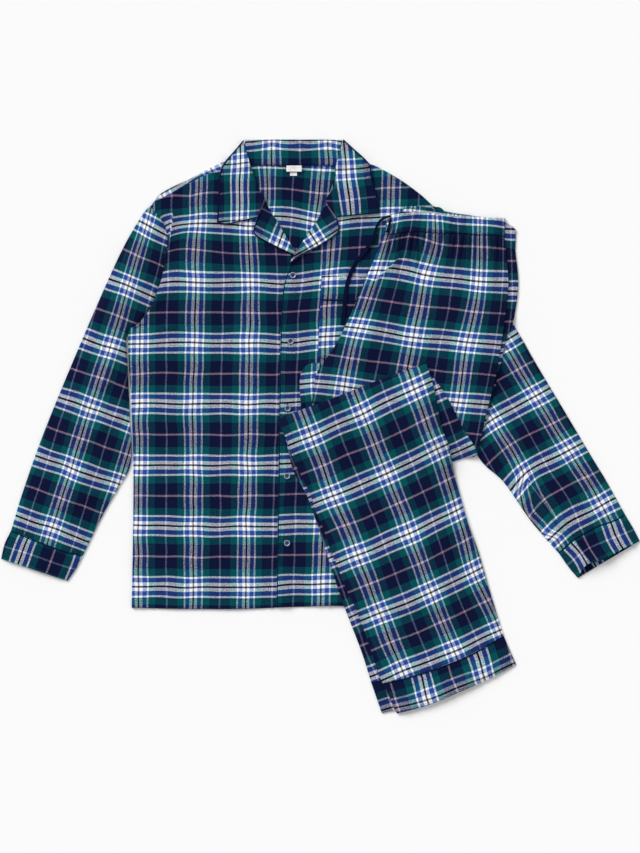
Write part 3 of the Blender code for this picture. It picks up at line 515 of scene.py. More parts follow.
class Pile:
    """Height maps, in mm, of the pieces laid so far, by name."""

    def __init__(self):
        self.shape = (round(SPAN_Y / CELL), round(SPAN_X / CELL))
        self.tops = {}
        self.skins = {}

    def places(self, points):
        """Where points in mm are in a height map, as rows and columns."""
        return points[..., 1] / CELL + self.shape[0] / 2, points[..., 0] / CELL + self.shape[1] / 2

    def add(self, name, plan, heights):
        """Records the top of a finished piece."""
        self.skins[name] = at_height(plan, heights)
        steps = finest(plan)
        rows, columns = self.places(refine(plan, steps))
        top = np.full(self.shape, -1.0)
        spots = (np.round(rows).astype(int), np.round(columns).astype(int))
        np.maximum.at(top, spots, refine(heights, steps))
        self.tops[name] = np.maximum(top, self.tops.get(name, -1.0))

    def under(self, names):
        """The lowest that a piece may lie over the named ones."""
        need = np.zeros(self.shape)
        for name in names:
            need = np.maximum(need, np.where(self.tops[name] > 0, self.tops[name] + GAP, 0))
        return widened(need)

    def sample(self, field, points):
        """A field's value at points in mm."""
        rows, columns = self.places(points)
        low_row, low_column = np.floor(rows).astype(int), np.floor(columns).astype(int)
        v, u = rows - low_row, columns - low_column
        lower = field[low_row, low_column] * (1 - u) + field[low_row, low_column + 1] * u
        upper = field[low_row + 1, low_column] * (1 - u) + field[low_row + 1, low_column + 1] * u
        return lower * (1 - v) + upper * v

    def lay(self, plan, over):
        """The height of each point of a plan laid on the named pieces, or on the table."""
        if not over:
            return np.zeros(plan.shape[:2])
        rows, columns = self.places(refine(plan, finest(plan)))
        mask = np.zeros(self.shape)
        mask[np.round(rows).astype(int), np.round(columns).astype(int)] = 1
        mask = widened(widened(mask)) > 0
        need = self.under(over)
        window = np.ix_(mask.any(axis=1), mask.any(axis=0))
        held, inside = need[window], mask[window]
        height = held.copy()
        for _ in range(ROUNDS):
            total = np.zeros_like(height)
            count = np.zeros_like(height)
            for axis in (0, 1):
                for step in (1, -1):
                    near = np.roll(inside, step, axis)
                    total += np.where(near, np.roll(height, step, axis), 0)
                    count += near
            around = total / np.maximum(count, 1)
            height = np.maximum(held, around - SAG)
        settled = need.copy()
        settled[window] = height
        return self.sample(settled, plan)

    def top_at(self, names, points):
        """The top of the named pieces at points in mm."""
        return self.sample(self.under(names), points)


PILE = Pile()


# ---------------------------------------------------------------- folds and check

def folds(name, plan):
    """The height that a piece's soft folds add at each point of its plan."""
    total = np.zeros(plan.shape[:2])
    for x0, y0, x1, y1, half_width, height in FOLDS.get(name, ()):
        start = np.array([x0, y0], float)
        way = np.array([x1, y1]) - start
        along = ((plan - start) @ way) / (way @ way)
        nearest = start + np.clip(along, 0, 1)[..., None] * way
        away = np.linalg.norm(plan - nearest, axis=2) / half_width
        fade = ease(np.minimum(along, 1 - along) * 3 + 0.6)
        total += height * np.exp(-(away**2)) * fade
    return total


def waves(seed, plan, wave, height):
    """Gentle unevenness of cloth that was smoothed by hand: broad waves in seeded directions."""
    chance = np.random.default_rng(seed)
    total = np.zeros(plan.shape[:2])
    for _ in range(8):
        angle = chance.uniform(0, math.pi)
        size = wave * chance.uniform(0.6, 1.7)
        across = plan[..., 0] * math.cos(angle) + plan[..., 1] * math.sin(angle)
        total += np.cos(2 * math.pi * across / size + chance.uniform(0, 2 * math.pi))
    return height * np.clip(0.5 + total / 8, 0, 1.2)


def valleys(plan, tops, bottoms, seed, width, depth):
    """Narrow troughs that run from points of one line to points of another, dying out on the way."""
    chance = np.random.default_rng(seed)
    total = np.zeros(plan.shape[:2])
    for start, stop in zip(tops, bottoms):
        way = np.array(stop, float) - start
        size = np.linalg.norm(way)
        along = ((plan - start) @ way) / size**2
        away = ((plan[..., 1] - start[1]) * way[0] - (plan[..., 0] - start[0]) * way[1]) / size
        wide = width * chance.uniform(0.7, 1.5) * (1 + 1.8 * np.clip(along, 0, 1))
        sunk = depth * chance.uniform(0.5, 1.2) * ease(1.15 - along) * ease(along * 4 + 1)
        total -= sunk * np.exp(-np.abs(away / wide) ** 1.4)
    return total


def puckers(seed, plan, sides, depth=0.7, wave=11, reach=9):
    """The small ripples beside the seams at a piece's named edges."""
    total = np.zeros(plan.shape[:2])
    left, right, end, top = edge_distances(plan)
    chance = np.random.default_rng(seed)
    for side, away, along in zip("lret", (left, right, end, top), (end, end, left, left)):
        if side not in sides:
            continue
        ripple = 0
        for _ in range(5):
            turn = 2 * math.pi * along / (wave * chance.uniform(0.6, 2.2))
            ripple = ripple + np.cos(turn + chance.uniform(0, 6.3))
        total += depth * ripple / 3 * np.exp(-away / reach)
    return total


def thin_plate(squared):
    """The bending shape of a thin plate, from squared distances."""
    return squared * np.log(np.maximum(squared, 1e-12))


def folded_in(plan, x0, y0, x1, y1, reach, run_out, warp, weft):
    """What a pleat takes out of the check at each point of a plan, in repeats."""
    way = np.array([x1 - x0, y1 - y0], float)
    size = np.linalg.norm(way)
    side = (way[0] * (plan[..., 1] - y0) - way[1] * (plan[..., 0] - x0)) / size
    along = ((plan - [x0, y0]) @ way) / size**2
    ending = ease((0.5 + run_out - np.abs(along - 0.5)) / 0.3)
    hidden = (side < 0) * ending * ease(1.5 * (1 + side / reach))
    return hidden[..., None] * np.array([warp, weft])


def check_at(name, plan):
    """The cloth's own coordinates at each point of a plan, in repeats of the check."""
    table = np.array(GRAIN[GRAIN_OF.get(name, name)], float)
    repeats, knots = table[:, :2], table[:, 2:] / KNOT_UNIT
    count = len(knots)
    spans = ((knots[:, None] - knots[None]) ** 2).sum(axis=2)
    system = np.zeros((count + 3, count + 3))
    system[:count, :count] = thin_plate(spans)
    system[:count, count] = 1
    system[:count, count + 1:] = knots
    system[count:, :count] = system[:count, count:].T
    wanted = np.concatenate([repeats, np.zeros((3, 2))])
    weights = np.linalg.lstsq(system, wanted, rcond=None)[0]
    points = plan.reshape(-1, 2) / KNOT_UNIT
    away = ((points[:, None] - knots[None]) ** 2).sum(axis=2)
    found = thin_plate(away) @ weights[:count] + weights[count] + points @ weights[count + 1:]
    found = found.reshape(*plan.shape[:2], 2)
    found = found + SHIFTS.get(name, (0, 0))
    if name in PLEATS:
        found = found + folded_in(plan, *PLEATS[name])
    seed = sum(map(ord, name))
    for axis in (0, 1):
        found[..., axis] += (waves(seed + axis, plan, UNEVEN_WAVE, 1.0) - 0.5) * UNEVEN
    return found[..., ::-1] if name in CROSS_CUT else found


# ---------------------------------------------------------------- meshes

COLLECTION = bpy.data.collections.new("Pyjama set")


def grid_faces(rows, columns, closed=False):
    """The faces of a grid of points, or of a tube whose rings are the rows."""
    wrap = columns if closed else columns - 1
    r, c = np.meshgrid(np.arange(rows - 1), np.arange(wrap), indexing="ij")
    right = (c + 1) % columns
    corners = [r * columns + c, r * columns + right, (r + 1) * columns + right, (r + 1) * columns + c]
    if closed:
        corners = corners[::-1]
    return np.stack(corners, axis=-1).reshape(-1, 4).tolist()


def object_of(name, points, faces, look, check=None, wall=0.0, layer="Cloth"):
    """A smooth object from points in mm and lists of corners, with a UV map such as the check's."""
    data = bpy.data.meshes.new(name)
    data.from_pydata((points.reshape(-1, 3) * MM).tolist(), [], faces)
    data.update()
    if check is not None:
        chart = data.uv_layers.new(name=layer)
        corner = np.zeros(len(data.loops), int)
        data.loops.foreach_get("vertex_index", corner)
        chart.data.foreach_set("uv", check.reshape(-1, 2)[corner].ravel())
    data.materials.append(look)
    data.shade_smooth()
    made = bpy.data.objects.new(name, data)
    COLLECTION.objects.link(made)
    if wall:
        thick = made.modifiers.new("Thickness", "SOLIDIFY")
        thick.thickness = wall
        thick.offset = -1
        thick.use_rim = True
    return made


def belongs(made, *nodes, slot="flannel"):
    """Attaches a piece to the frame's root and hides the parts of the frame that it stands for."""
    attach(made, ROOT)
    if nodes:
        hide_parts(*nodes)
    return made


def cloth_object(name, points, faces, check, wall):
    """Makes a piece of cloth with its check and puts it in place of its part of the frame."""
    made = object_of(f"{name}_cloth", points, faces, finish("flannel"), check, wall)
    belongs(made, name)


def rounded(lip, away):
    """How far cloth drops towards an edge that is rounded off by lip, both in mm."""
    return lip * np.clip(1 - away / LIPS[-1], 0, 1) ** 2


OFF_TABLE = 0.02  # mm


def flat_piece(name, plan, over, raised=0.0, lip=0.6, sides="lret", kind="wall"):
    """A single sheet of cloth laid on others, its named edges rounded off by lip in mm.

    kind is the name of its thickness among the sizes.
    """
    wall = getattr(bpy.context.scene.pyjama_sizes, kind)
    plan = face_up(plan)
    low = PILE.lay(plan, over)
    near = np.full(plan.shape[:2], np.inf)
    for side, away in zip("lret", edge_distances(plan)):
        if side in sides:
            near = np.minimum(near, away)
    top = np.maximum(low + wall / MM + raised - rounded(lip, near), wall / MM + OFF_TABLE)
    PILE.add(name, plan, top)
    check = check_at(name, plan)
    cloth_object(name, at_height(plan, top), grid_faces(*plan.shape[:2]), check, wall)


ARC = 4  # steps round a folded edge
LAYER_GAP = 0.4  # mm between the two layers of a tube
SIDE_FADE = 12  # mm from a tube's folded sides, where its folds and the inside's check die out
MOUTH_FADE = 34  # mm from a tube's mouth to where it is flat again
INSIDE = (-0.1, 0.42)  # how far the check inside a tube is from the check above it, in repeats


def tube_piece(name, plan, over, loft, raised=0.0, settle=(0, 0), bulge=1.0, lip=0.8, mouth=None):
    """A flattened tube of cloth, open at its ends. loft is how far its upper layer stands in the middle.

    settle gives the distances from its end and top over which the loft is lost. mouth gives, across its top
    edge from the right, how far the upper layer is pushed back from the lower one and lifted off it.
    """
    wall = bpy.context.scene.pyjama_sizes.wall
    plan = face_up(plan)
    rows, columns = plan.shape[:2]
    low = PILE.lay(plan, over)
    left, right, end, top = edge_distances(plan)
    width = left + right
    stand = loft * np.sin(np.pi * np.clip(left / width, 0, 1)) ** 0.6
    for distance, away in zip(settle, (end, top)):
        if distance:
            stand = stand * (0.25 + 0.75 * ease(away / distance))
    from_sides = ease(np.minimum(left, right) / SIDE_FADE)
    high = low + 2 * wall / MM + LAYER_GAP + stand + raised * from_sides - rounded(lip, np.minimum(end, top))
    PILE.add(name, plan, high)
    across = unit(plan[:, -1] - plan[:, 0])
    upper = plan
    if mouth:
        shares, back, lift = np.array(mouth, float).T
        fade = ease(1 - top / MOUTH_FADE)
        inward = unit(plan[:1] - plan[-1:])
        upper = plan + inward * (np.interp(right / width, shares, back) * fade)[..., None]
        high = high + np.interp(right / width, shares, lift) * fade
    arcs = []
    turn = np.linspace(0, math.pi, ARC + 1)[1:-1]
    for column, outward, turned in ((-1, across, -np.cos(turn)), (0, -across, np.cos(turn))):
        heights = low[:, column, None] + (high - low)[:, column, None] * (1 + turned) / 2
        spots = plan[:, column, None] + outward[:, None] * bulge * np.sin(turn)[None, :, None]
        arcs.append(at_height(spots, heights))
    ring = np.concatenate([at_height(plan, low), arcs[0], at_height(upper, high)[:, ::-1], arcs[1]], axis=1)
    check = check_at(name, ring[..., :2])
    if mouth:
        check[:, :columns] += from_sides[..., None] * INSIDE
    cloth_object(name, ring, grid_faces(rows, ring.shape[1], closed=True), check, wall)


# ---------------------------------------------------------------- finishes

def arithmetic(operation):
    """The methods of Wire for an operator and for its reflected form."""
    def straight(self, other):
        return self.maths(operation, other)

    def reflected(self, other):
        return self.look.maths(operation, other, self)

    return straight, reflected


class Wire:
    """A value in a finish. Arithmetic on it adds Math nodes."""

    __add__, __radd__ = arithmetic("ADD")
    __sub__, __rsub__ = arithmetic("SUBTRACT")
    __mul__, __rmul__ = arithmetic("MULTIPLY")

    def __init__(self, look, socket):
        self.look = look
        self.socket = socket

    def __abs__(self):
        return self.maths("ABSOLUTE")

    def maths(self, operation, *others):
        return self.look.maths(operation, self, *others)

    def to_nearest(self):
        """The distance to the nearest whole number, 0 to 0.5."""
        return abs((self + 0.5).maths("FRACT") - 0.5)

    def clamped(self):
        return self.maths("MINIMUM", 1).maths("MAXIMUM", 0)


class Finish:
    """A procedural material being made."""

    def __init__(self, name, roughness, **constants):
        self.material = bpy.data.materials.new(name)
        self.material.use_nodes = True
        self.tree = self.material.node_tree
        self.shader = self.tree.nodes["Principled BSDF"]
        self.shader.inputs["Roughness"].default_value = roughness
        for socket, value in constants.items():
            self.shader.inputs[socket.replace("_", " ")].default_value = value

    def node(self, kind, settings=None, sockets=None, output=0):
        """Adds a node: its settings first, then values or wires for its sockets."""
        made = self.tree.nodes.new(kind)
        for name, value in (settings or {}).items():
            setattr(made, name, value)
        for key, value in (sockets or {}).items():
            if isinstance(value, Wire):
                self.tree.links.new(value.socket, made.inputs[key])
            else:
                made.inputs[key].default_value = value
        return Wire(self, made.outputs[output])

    def maths(self, operation, *values):
        return self.node("ShaderNodeMath", {"operation": operation}, dict(enumerate(values)))

    def chart(self, layer):
        """A UV map, and its two parts."""
        place = self.node("ShaderNodeUVMap", {"uv_map": layer})
        parts = self.node("ShaderNodeSeparateXYZ", {}, {0: place}).socket.node
        return place, Wire(self, parts.outputs[0]), Wire(self, parts.outputs[1])

    def bars(self, place, stops):
        """A colour for each stretch of a value: stops are (start, colour)."""
        wire = self.node("ShaderNodeValToRGB", {}, {"Fac": place})
        ramp = wire.socket.node.color_ramp
        ramp.interpolation = "CONSTANT"
        for number, (start, colour) in enumerate(stops):
            stop = ramp.elements[number] if number < 2 else ramp.elements.new(start)
            stop.position = start
            stop.color = (*colour, 1)
        return wire

    def noise(self, vector, scale, detail=2.0, roughness=0.5):
        """Soft random values about 0.5. scale is a number, or one for each part of the vector."""
        if isinstance(scale, tuple):
            vector = self.node("ShaderNodeVectorMath", {"operation": "MULTIPLY"}, {0: vector, 1: scale})
            scale = 1.0
        sockets = {"Vector": vector, "Scale": scale, "Detail": detail, "Roughness": roughness}
        return self.node("ShaderNodeTexNoise", {}, sockets)

    def mix(self, share, first, second, blend="MIX"):
        """One colour over another."""
        settings = {"data_type": "RGBA", "blend_type": blend}
        return self.node("ShaderNodeMix", settings, {0: share, 6: first, 7: second}, output=2)

    def toned(self, colour, level):
        """A screen colour made lighter or darker by a level, as light."""
        grey = self.node("ShaderNodeCombineColor", {}, {0: level, 1: level, 2: level})
        shown = self.mix(1.0, colour, grey, "MULTIPLY")
        return self.node("ShaderNodeGamma", {}, {"Color": shown, "Gamma": 2.2})

    def wear(self, colour=None, roughness=None, height=None, depth=0.0002, strength=0.5):
        """Joins what varies over the surface to the shader. depth is the bumps', in metres."""
        for wire, socket in ((colour, "Base Color"), (roughness, "Roughness")):
            if wire:
                self.tree.links.new(wire.socket, self.shader.inputs[socket])
        if height:
            sockets = {"Height": height, "Distance": depth, "Strength": strength}
            bump = self.node("ShaderNodeBump", {}, sockets)
            self.tree.links.new(bump.socket, self.shader.inputs["Normal"])
        return self.material


SETT = (  # start of each bar, as a share of the repeat from the middle of the white bar
    (0.0, "black"), (0.0118, "white"), (0.069, "blue"), (0.1425, "white"), (0.1745, "green"), (0.295, "navy"),
)
FINE_LINE = 0.4835  # start of the fine coloured line
YARNS_WARP = 84  # twill lines in a repeat
YARNS_WEFT = 92
WEFT_SHARE = 0.6  # how much of the face is weft
TWILL_SHOWS = 0.16  # how much of it the twill's lines take or give
FLECK_SHOWS = 1.5  # and the unevenness of the yarns
RAGGED = 0.006  # how ragged the edges of the bars are, in repeats
HAZE = (0.55, 0.58, 0.66, 1)  # colour of the brushed fibres
HAZE_SHARE = 0.12


def flannel_finish(colours):
    """Brushed twill woven in the check."""
    look = Finish("flannel_check", 0.95, Specular_IOR_Level=0.05, Sheen_Weight=0.02, Sheen_Roughness=0.6)
    cloth, warp, weft = look.chart("Cloth")
    ragged = (look.noise(cloth, (160, 160, 1), 1.0) - 0.5) * RAGGED
    sheets = []
    for place, fine in ((warp, colours.mauve), (weft, colours.coral)):
        stops = [(start, tuple(getattr(colours, name))) for start, name in SETT]
        stops.append((FINE_LINE, tuple(fine)))
        sheets.append(look.bars(place.to_nearest() + ragged, stops))
    twill = ((warp * YARNS_WARP + weft * YARNS_WEFT) * (2 * math.pi)).maths("SINE")
    fleck = look.noise(cloth, (48, 52, 1), 2.0, 0.7)
    share = (WEFT_SHARE + twill * TWILL_SHOWS + (fleck - 0.5) * FLECK_SHOWS).clamped()
    yarn = look.noise(cloth, (26, 150, 1)) + look.noise(cloth, (150, 26, 1))
    nap = look.noise(cloth, (60, 60, 1), 4.0, 0.65)
    brushed = look.mix((nap - 0.5).clamped() * HAZE_SHARE, look.mix(share, *sheets), HAZE)
    shown = look.toned(brushed, 0.825 + 0.12 * yarn + 0.18 * nap)
    height = twill * 0.5 + nap * 1.6 + yarn * 0.5
    return look.wear(shown, 0.9 + 0.1 * nap, height, depth=0.00025, strength=0.45)


def trim_finish(name, colour):
    """Plain cotton of the piping and the drawstring, with fine ribs."""
    look = Finish(name, 0.8, Specular_IOR_Level=0.05)
    place = look.node("ShaderNodeTexCoord", {}, {}, output="Object")
    grain = look.noise(place, 1400.0, 3.0)
    shown = look.toned((*colour, 1), 0.7 + 0.35 * grain + 0.3 * look.noise(place, 120.0))
    return look.wear(shown, 0.7 + 0.2 * grain, grain, depth=0.0003)


HOLE_PLACE = 0.23  # how far a button's holes are from its middle lines, as a share of its radius


def button_finish(middle, rim_highlight, thread):
    """Polished smoky horn plastic sewn on through four holes, with a paler rim that is a painted highlight.
    """
    look = Finish("smoky_button", 0.28, Coat_Weight=0.3)
    face, x, y = look.chart("Face")
    x, y = abs(x), abs(y)
    out = (x * x + y * y).maths("SQRT")
    figure = look.noise(face, (1.6, 5, 1), 3.0)
    # The ring near the edge takes the paler colour, a painted highlight on the rim
    ring = ((out - 0.60) * 7).clamped() * ((1.04 - out) * 12).clamped()
    horn = look.mix((ring * (0.55 + 0.7 * figure)).clamped(), (*middle, 1), (*rim_highlight, 1))
    off_square = abs(x.maths("MAXIMUM", y) - HOLE_PLACE)
    sewn = (1 - off_square * 16).clamped() * ((HOLE_PLACE + 0.06 - x.maths("MINIMUM", y)) * 30).clamped()
    shown = look.toned(look.mix((sewn * 2.5).clamped(), horn, (*thread, 1)), 0.8 + 0.4 * figure)
    return look.wear(shown, 0.22 + 0.14 * figure + sewn * 0.4)


FINISHES = {}


def finish(name):
    """A finish by name, made once."""
    colours = bpy.context.scene.pyjama_colours
    if name not in FINISHES:
        if name == "flannel":
            FINISHES[name] = flannel_finish(colours)
        elif name == "button":
            FINISHES[name] = button_finish(colours.button, colours.rim_highlight, colours.piping)
        else:
            FINISHES[name] = trim_finish(f"{name}_cotton", tuple(getattr(colours, name)))
    return FINISHES[name]


# ---------------------------------------------------------------- cords

def left_of(points):
    """The way to a line's left at each of its points."""
    ahead = unit(np.gradient(points, axis=0))
    return np.stack([-ahead[:, 1], ahead[:, 0]], axis=1)


CORD_STEP = 3  # mm between the rings of a cord
PIPING_FLAT = 0.8  # height of the piping as a share of its width


def cord_route(outline):
    """Even steps along the outline of a cord."""
    steps = max(round(lengths_along(smooth_line(outline))[-1] / CORD_STEP), 4)
    return line(outline, np.linspace(0, 1, steps + 1))


def cord_mesh(name, middle, width, height, look, sides=8, square=2.0, lean=0.0):
    """A closed tube along points in mm.

    square above 2 flattens its section into a tape, and lean tips the tape up by so many radians.
    """
    aside = left_of(middle[:, :2])
    rings = []
    for turn in np.linspace(0, 2 * math.pi, sides, endpoint=False):
        out = math.copysign(abs(math.cos(turn)) ** (2 / square), math.cos(turn)) * width / 2
        up = math.copysign(abs(math.sin(turn)) ** (2 / square), math.sin(turn)) * height / 2
        flat = np.broadcast_to(out * np.cos(lean) - up * np.sin(lean), len(middle))[:, None]
        high = np.broadcast_to(out * np.sin(lean) + up * np.cos(lean), len(middle))[:, None]
        rings.append(np.concatenate([middle[:, :2] + aside * flat, middle[:, 2:] + high], axis=1))
    ring = np.stack(rings, axis=1)
    faces = [face[::-1] for face in grid_faces(len(middle), sides, closed=True)]
    first = list(range(sides))
    last = [len(middle) * sides - sides + corner for corner in first]
    faces += [first[::-1], last]
    return object_of(name, ring, faces, look)


def piping(name, route, over, inset, stands=-0.5, wide=1.0):
    """Piping along an edge: a thin cord in a seam.

    inset is how far it is to the edge's left, stands how far its middle is above the cloth, both in mm.
    """
    sizes = bpy.context.scene.pyjama_sizes
    size = wide * sizes.piping / MM
    flat = cord_route(route)
    flat = flat + left_of(flat) * inset
    middle = at_height(flat, PILE.top_at(over, flat) + stands)
    made = cord_mesh(f"{name}_cord", middle, size, size * PIPING_FLAT, finish("piping"))
    belongs(made, name, slot="piping")


# ---------------------------------------------------------------- stage

VIEW_HEIGHT = 1.4501  # metres of the table seen from top to bottom
EYE = 6.0  # metres from the table to the camera
ROOM = 4  # metres from the middle to the table's sides
LAMPS = (  # name, direction it shines from, spread in degrees, power
    ("key light", (-1.1, 1.2, 1.2), 34, 2.6), ("fill light", (1.3, -0.6, 1.6), 70, 0.35),
)


class PYJAMA_OT_stage(bpy.types.Operator):
    """Makes the camera, the pale table and the soft light."""

    bl_idname = "pyjama.stage"
    bl_label = "Stage"

    def execute(self, context):
        scene = context.scene
        PILE.tops.clear()
        PILE.skins.clear()
        FINISHES.clear()
        if COLLECTION.name not in scene.collection.children:
            scene.collection.children.link(COLLECTION)

        def placed(name, data, place):
            made = bpy.data.objects.new(name, data)
            made.location = place
            scene.collection.objects.link(made)
            return made

        lens = bpy.data.cameras.new("camera")
        lens.sensor_fit = "VERTICAL"
        lens.sensor_height = 36
        lens.lens = 36 * EYE / VIEW_HEIGHT
        lens.clip_end = 50
        scene.camera = placed("camera", lens, (0, 0, EYE))
        scene.view_settings.view_transform = "Standard"
        floor = bpy.data.meshes.new("table")
        corners = [(x * ROOM, y * ROOM, -0.0004) for x, y in ((-1, -1), (1, -1), (1, 1), (-1, 1))]
        floor.from_pydata(corners, [], [(0, 1, 2, 3)])
        look = Finish("pale_table", 0.9, Specular_IOR_Level=0.0, Base_Color=(0.97, 0.97, 0.97, 1))
        floor.materials.append(look.material)
        placed("table", floor, (0, 0, 0))
        world = bpy.data.worlds.new("soft room")
        world.use_nodes = True
        back = world.node_tree.nodes["Background"]
        back.inputs["Color"].default_value = (1, 1, 1, 1)
        back.inputs["Strength"].default_value = 0.42
        scene.world = world
        for name, place, spread, power in LAMPS:
            lamp = bpy.data.lights.new(name, "SUN")
            lamp.angle = math.radians(spread)
            lamp.energy = power
            light = placed(name, lamp, place)
            light.rotation_euler = Vector(place).to_track_quat("Z", "Y").to_euler()
        return {"FINISHED"}


# ---------------------------------------------------------------- shirt

BODY = ("shirt_back", "shirt_front_right", "shirt_front_left")
COLLAR = (
    "shirt_collar_back", "shirt_lapel_right", "shirt_lapel_left", "shirt_collar_fall_right",
    "shirt_collar_fall_left",
)


FOLD_GAIN = 1.3  # how much of their height the folds have
UNEVENNESS = (  # its layers: what is added to the seed, and the shares of the wave and the height
    (0, 1, 1.6), (100, 0.38, 0.45),
)


def creased(name, plan, seed, height=0.9, wave=90, seams=""):
    """A piece's folds, its unevenness of a height and wave in mm, and the ripples beside its seams."""
    plan = face_up(plan)
    total = FOLD_GAIN * folds(name, plan)
    for added, wave_share, height_share in UNEVENNESS:
        total = total + waves(seed + added, plan, wave * wave_share, height_share * height)
    return total + puckers(seed, plan, seams)


class PYJAMA_OT_shirt_body(bpy.types.Operator):
    """Makes the shirt's back, its under front and the over front."""

    bl_idname = "pyjama.shirt_body"
    bl_label = "Shirt body"

    def execute(self, context):
        left = [*SIDE, *ARMHOLE[1:]]
        right = [*RIGHT_SIDE, *FAR_ARMHOLE[1:]]
        back = patch(BACK_HEM, BACK_TOP, left, right, cell=9)
        flat_piece("shirt_back", back, (), sides="")
        front = patch(UNDER_FRONT_HEM, SHOULDER_SEAM, left, UNDER_FRONT_EDGE, cell=4.2)
        raised = creased("shirt_front_right", front, 3, seams="let")
        flat_piece("shirt_front_right", front, BODY[:1], raised)
        front = patch(OVER_FRONT_HEM, OVER_FRONT_TOP, OVER_FRONT_EDGE, right, cell=4.2)
        raised = creased("shirt_front_left", front, 5, seams="let")
        flat_piece("shirt_front_left", front, BODY[:2], raised)
        return {"FINISHED"}


CUFF_MOUTH = (  # share across from the seam side, mm pushed back, mm lifted
    (0, 0, 0), (0.05, 4, 2), (0.11, 9, 5), (0.2, 12.5, 8), (0.28, 11.5, 8), (0.37, 7, 6), (0.47, 4, 5),
    (0.57, 4, 4), (0.66, 4, 4), (0.75, 4, 3), (0.88, 1.2, 1.5), (1, 0, 0),
)


class PYJAMA_OT_sleeves(bpy.types.Operator):
    """Makes both sleeves and their cuffs."""

    bl_idname = "pyjama.sleeves"
    bl_label = "Sleeves and cuffs"

    def execute(self, context):
        arms = (
            ("right", ARMHOLE, SLEEVE_OUT, SLEEVE_IN, WRIST, CUFF_OUT, CUFF_IN, 11),
            ("left", FAR_ARMHOLE, FAR_SLEEVE_OUT, FAR_SLEEVE_IN, FAR_WRIST, FAR_CUFF_OUT, FAR_CUFF_IN, 12),
        )
        for side, hole, outer, inner, wrist, cuff_outer, cuff_inner, seed in arms:
            name = f"shirt_sleeve_{side}"
            plan = patch(hole[:2:-1], wrist, outer, [*hole[3:0:-1], *inner], cell=4.2, fade=2)
            raised = creased(name, plan, seed, 1.4, 70, "lret")
            tube_piece(name, plan, (), loft=3.5, raised=raised, settle=(60, 20))
            name = f"shirt_cuff_{side}"
            cuff = patch(wrist, None, cuff_outer, cuff_inner, cell=3.2)
            raised = creased(name, cuff, seed + 10, 1.2, 40, "et")
            mouth = CUFF_MOUTH if side == "left" else None
            tube_piece(name, cuff, (), loft=3.0, raised=raised, settle=(6, 0), mouth=mouth)
        return {"FINISHED"}


class PYJAMA_OT_collar(bpy.types.Operator):
    """Makes the collar behind the neck, the lapels and the collar's falls."""

    bl_idname = "pyjama.collar"
    bl_label = "Collar and lapels"

    def execute(self, context):
        back = patch(COLLAR_SEAM, COLLAR_TOP, cell=3)
        flat_piece("shirt_collar_back", back, BODY, raised=2.4, lip=2.2, kind="collar_wall")
        below = (*BODY, *COLLAR[:3])
        for name, over, end, left, right, cell, wave, lip, seed in (
            (COLLAR[1], BODY, None, LAPEL_OUT, LAPEL_IN, 2.5, 50, 0.6, 21),
            (COLLAR[2], (*BODY, COLLAR[1]), None, FAR_LAPEL_IN, FAR_LAPEL_OUT, 2.5, 50, 0.6, 22),
            (COLLAR[3], below, FALL_END, FALL_OUT, FALL_IN, 2.8, 60, 0.9, 23),
            (COLLAR[4], below, FAR_FALL_END[::-1], FAR_FALL_IN, FAR_FALL_OUT, 2.8, 60, 0.9, 24),
        ):
            plan = patch(end, None, left, right, cell)
            raised = creased(name, plan, seed, 0.8, wave)
            flat_piece(name, plan, over, raised, lip, kind="collar_wall")
        return {"FINISHED"}


LABEL_TOP = 0.9  # mm above the cloth
LABEL_WALL = 0.7  # mm


def quad(corners, cell):
    """A four-cornered plan: corners in mm, counter-clockwise from the lower left."""
    return patch(corners[:2], corners[:1:-1], cell=cell)


class PYJAMA_OT_pocket(bpy.types.Operator):
    """Makes the chest pocket and the blank labels in the neck."""

    bl_idname = "pyjama.pocket"
    bl_label = "Pocket and labels"

    def execute(self, context):
        pocket = quad(POCKET, 3)
        raised = creased("shirt_pocket", pocket, 31, 0.5, 60)
        flat_piece("shirt_pocket", pocket, ("shirt_front_left",), raised)
        for name, corners in (("shirt_neck_label", NECK_LABEL), ("shirt_size_tab", SIZE_TAB)):
            plan = quad(corners, 1.6)
            low = PILE.lay(plan, ("shirt_back", "shirt_collar_back"))
            faces = grid_faces(*plan.shape[:2])
            points = at_height(plan, low + LABEL_TOP)
            made = object_of(f"{name}_tape", points, faces, finish("label"), wall=LABEL_WALL * MM)
            belongs(made, name, slot="label")
        return {"FINISHED"}


class PYJAMA_OT_buttons(bpy.types.Operator):
    """Makes the five buttons down the over front."""

    bl_idname = "pyjama.buttons"
    bl_label = "Buttons"

    def execute(self, context):
        radius = context.scene.pyjama_sizes.button / MM
        spots = np.concatenate([circle(23) * radius, [[0, 0]]])
        for name, x, y in BUTTONS:
            floor = PILE.top_at(BODY[1:], spots + [x, y]).max()
            button(f"shirt_button_{name}", x, y, floor, radius)
        return {"FINISHED"}


BUTTON_TOP = (  # from a button's middle to its rim: share of its radius, height in mm
    (0.0, 1.35), (0.30, 1.30), (0.55, 1.30), (0.66, 1.55), (0.78, 2.15), (0.88, 2.35), (0.96, 2.1),
    (1.0, 1.6),
)
BUTTON_SIDE = ((0.97, 0.8), (0.86, 0.1), (0.5, 0.0))  # and from there to below it
HOLE = 0.17  # radius of a button's holes, as a share of its own
HOLE_DEPTH = 1.3  # mm


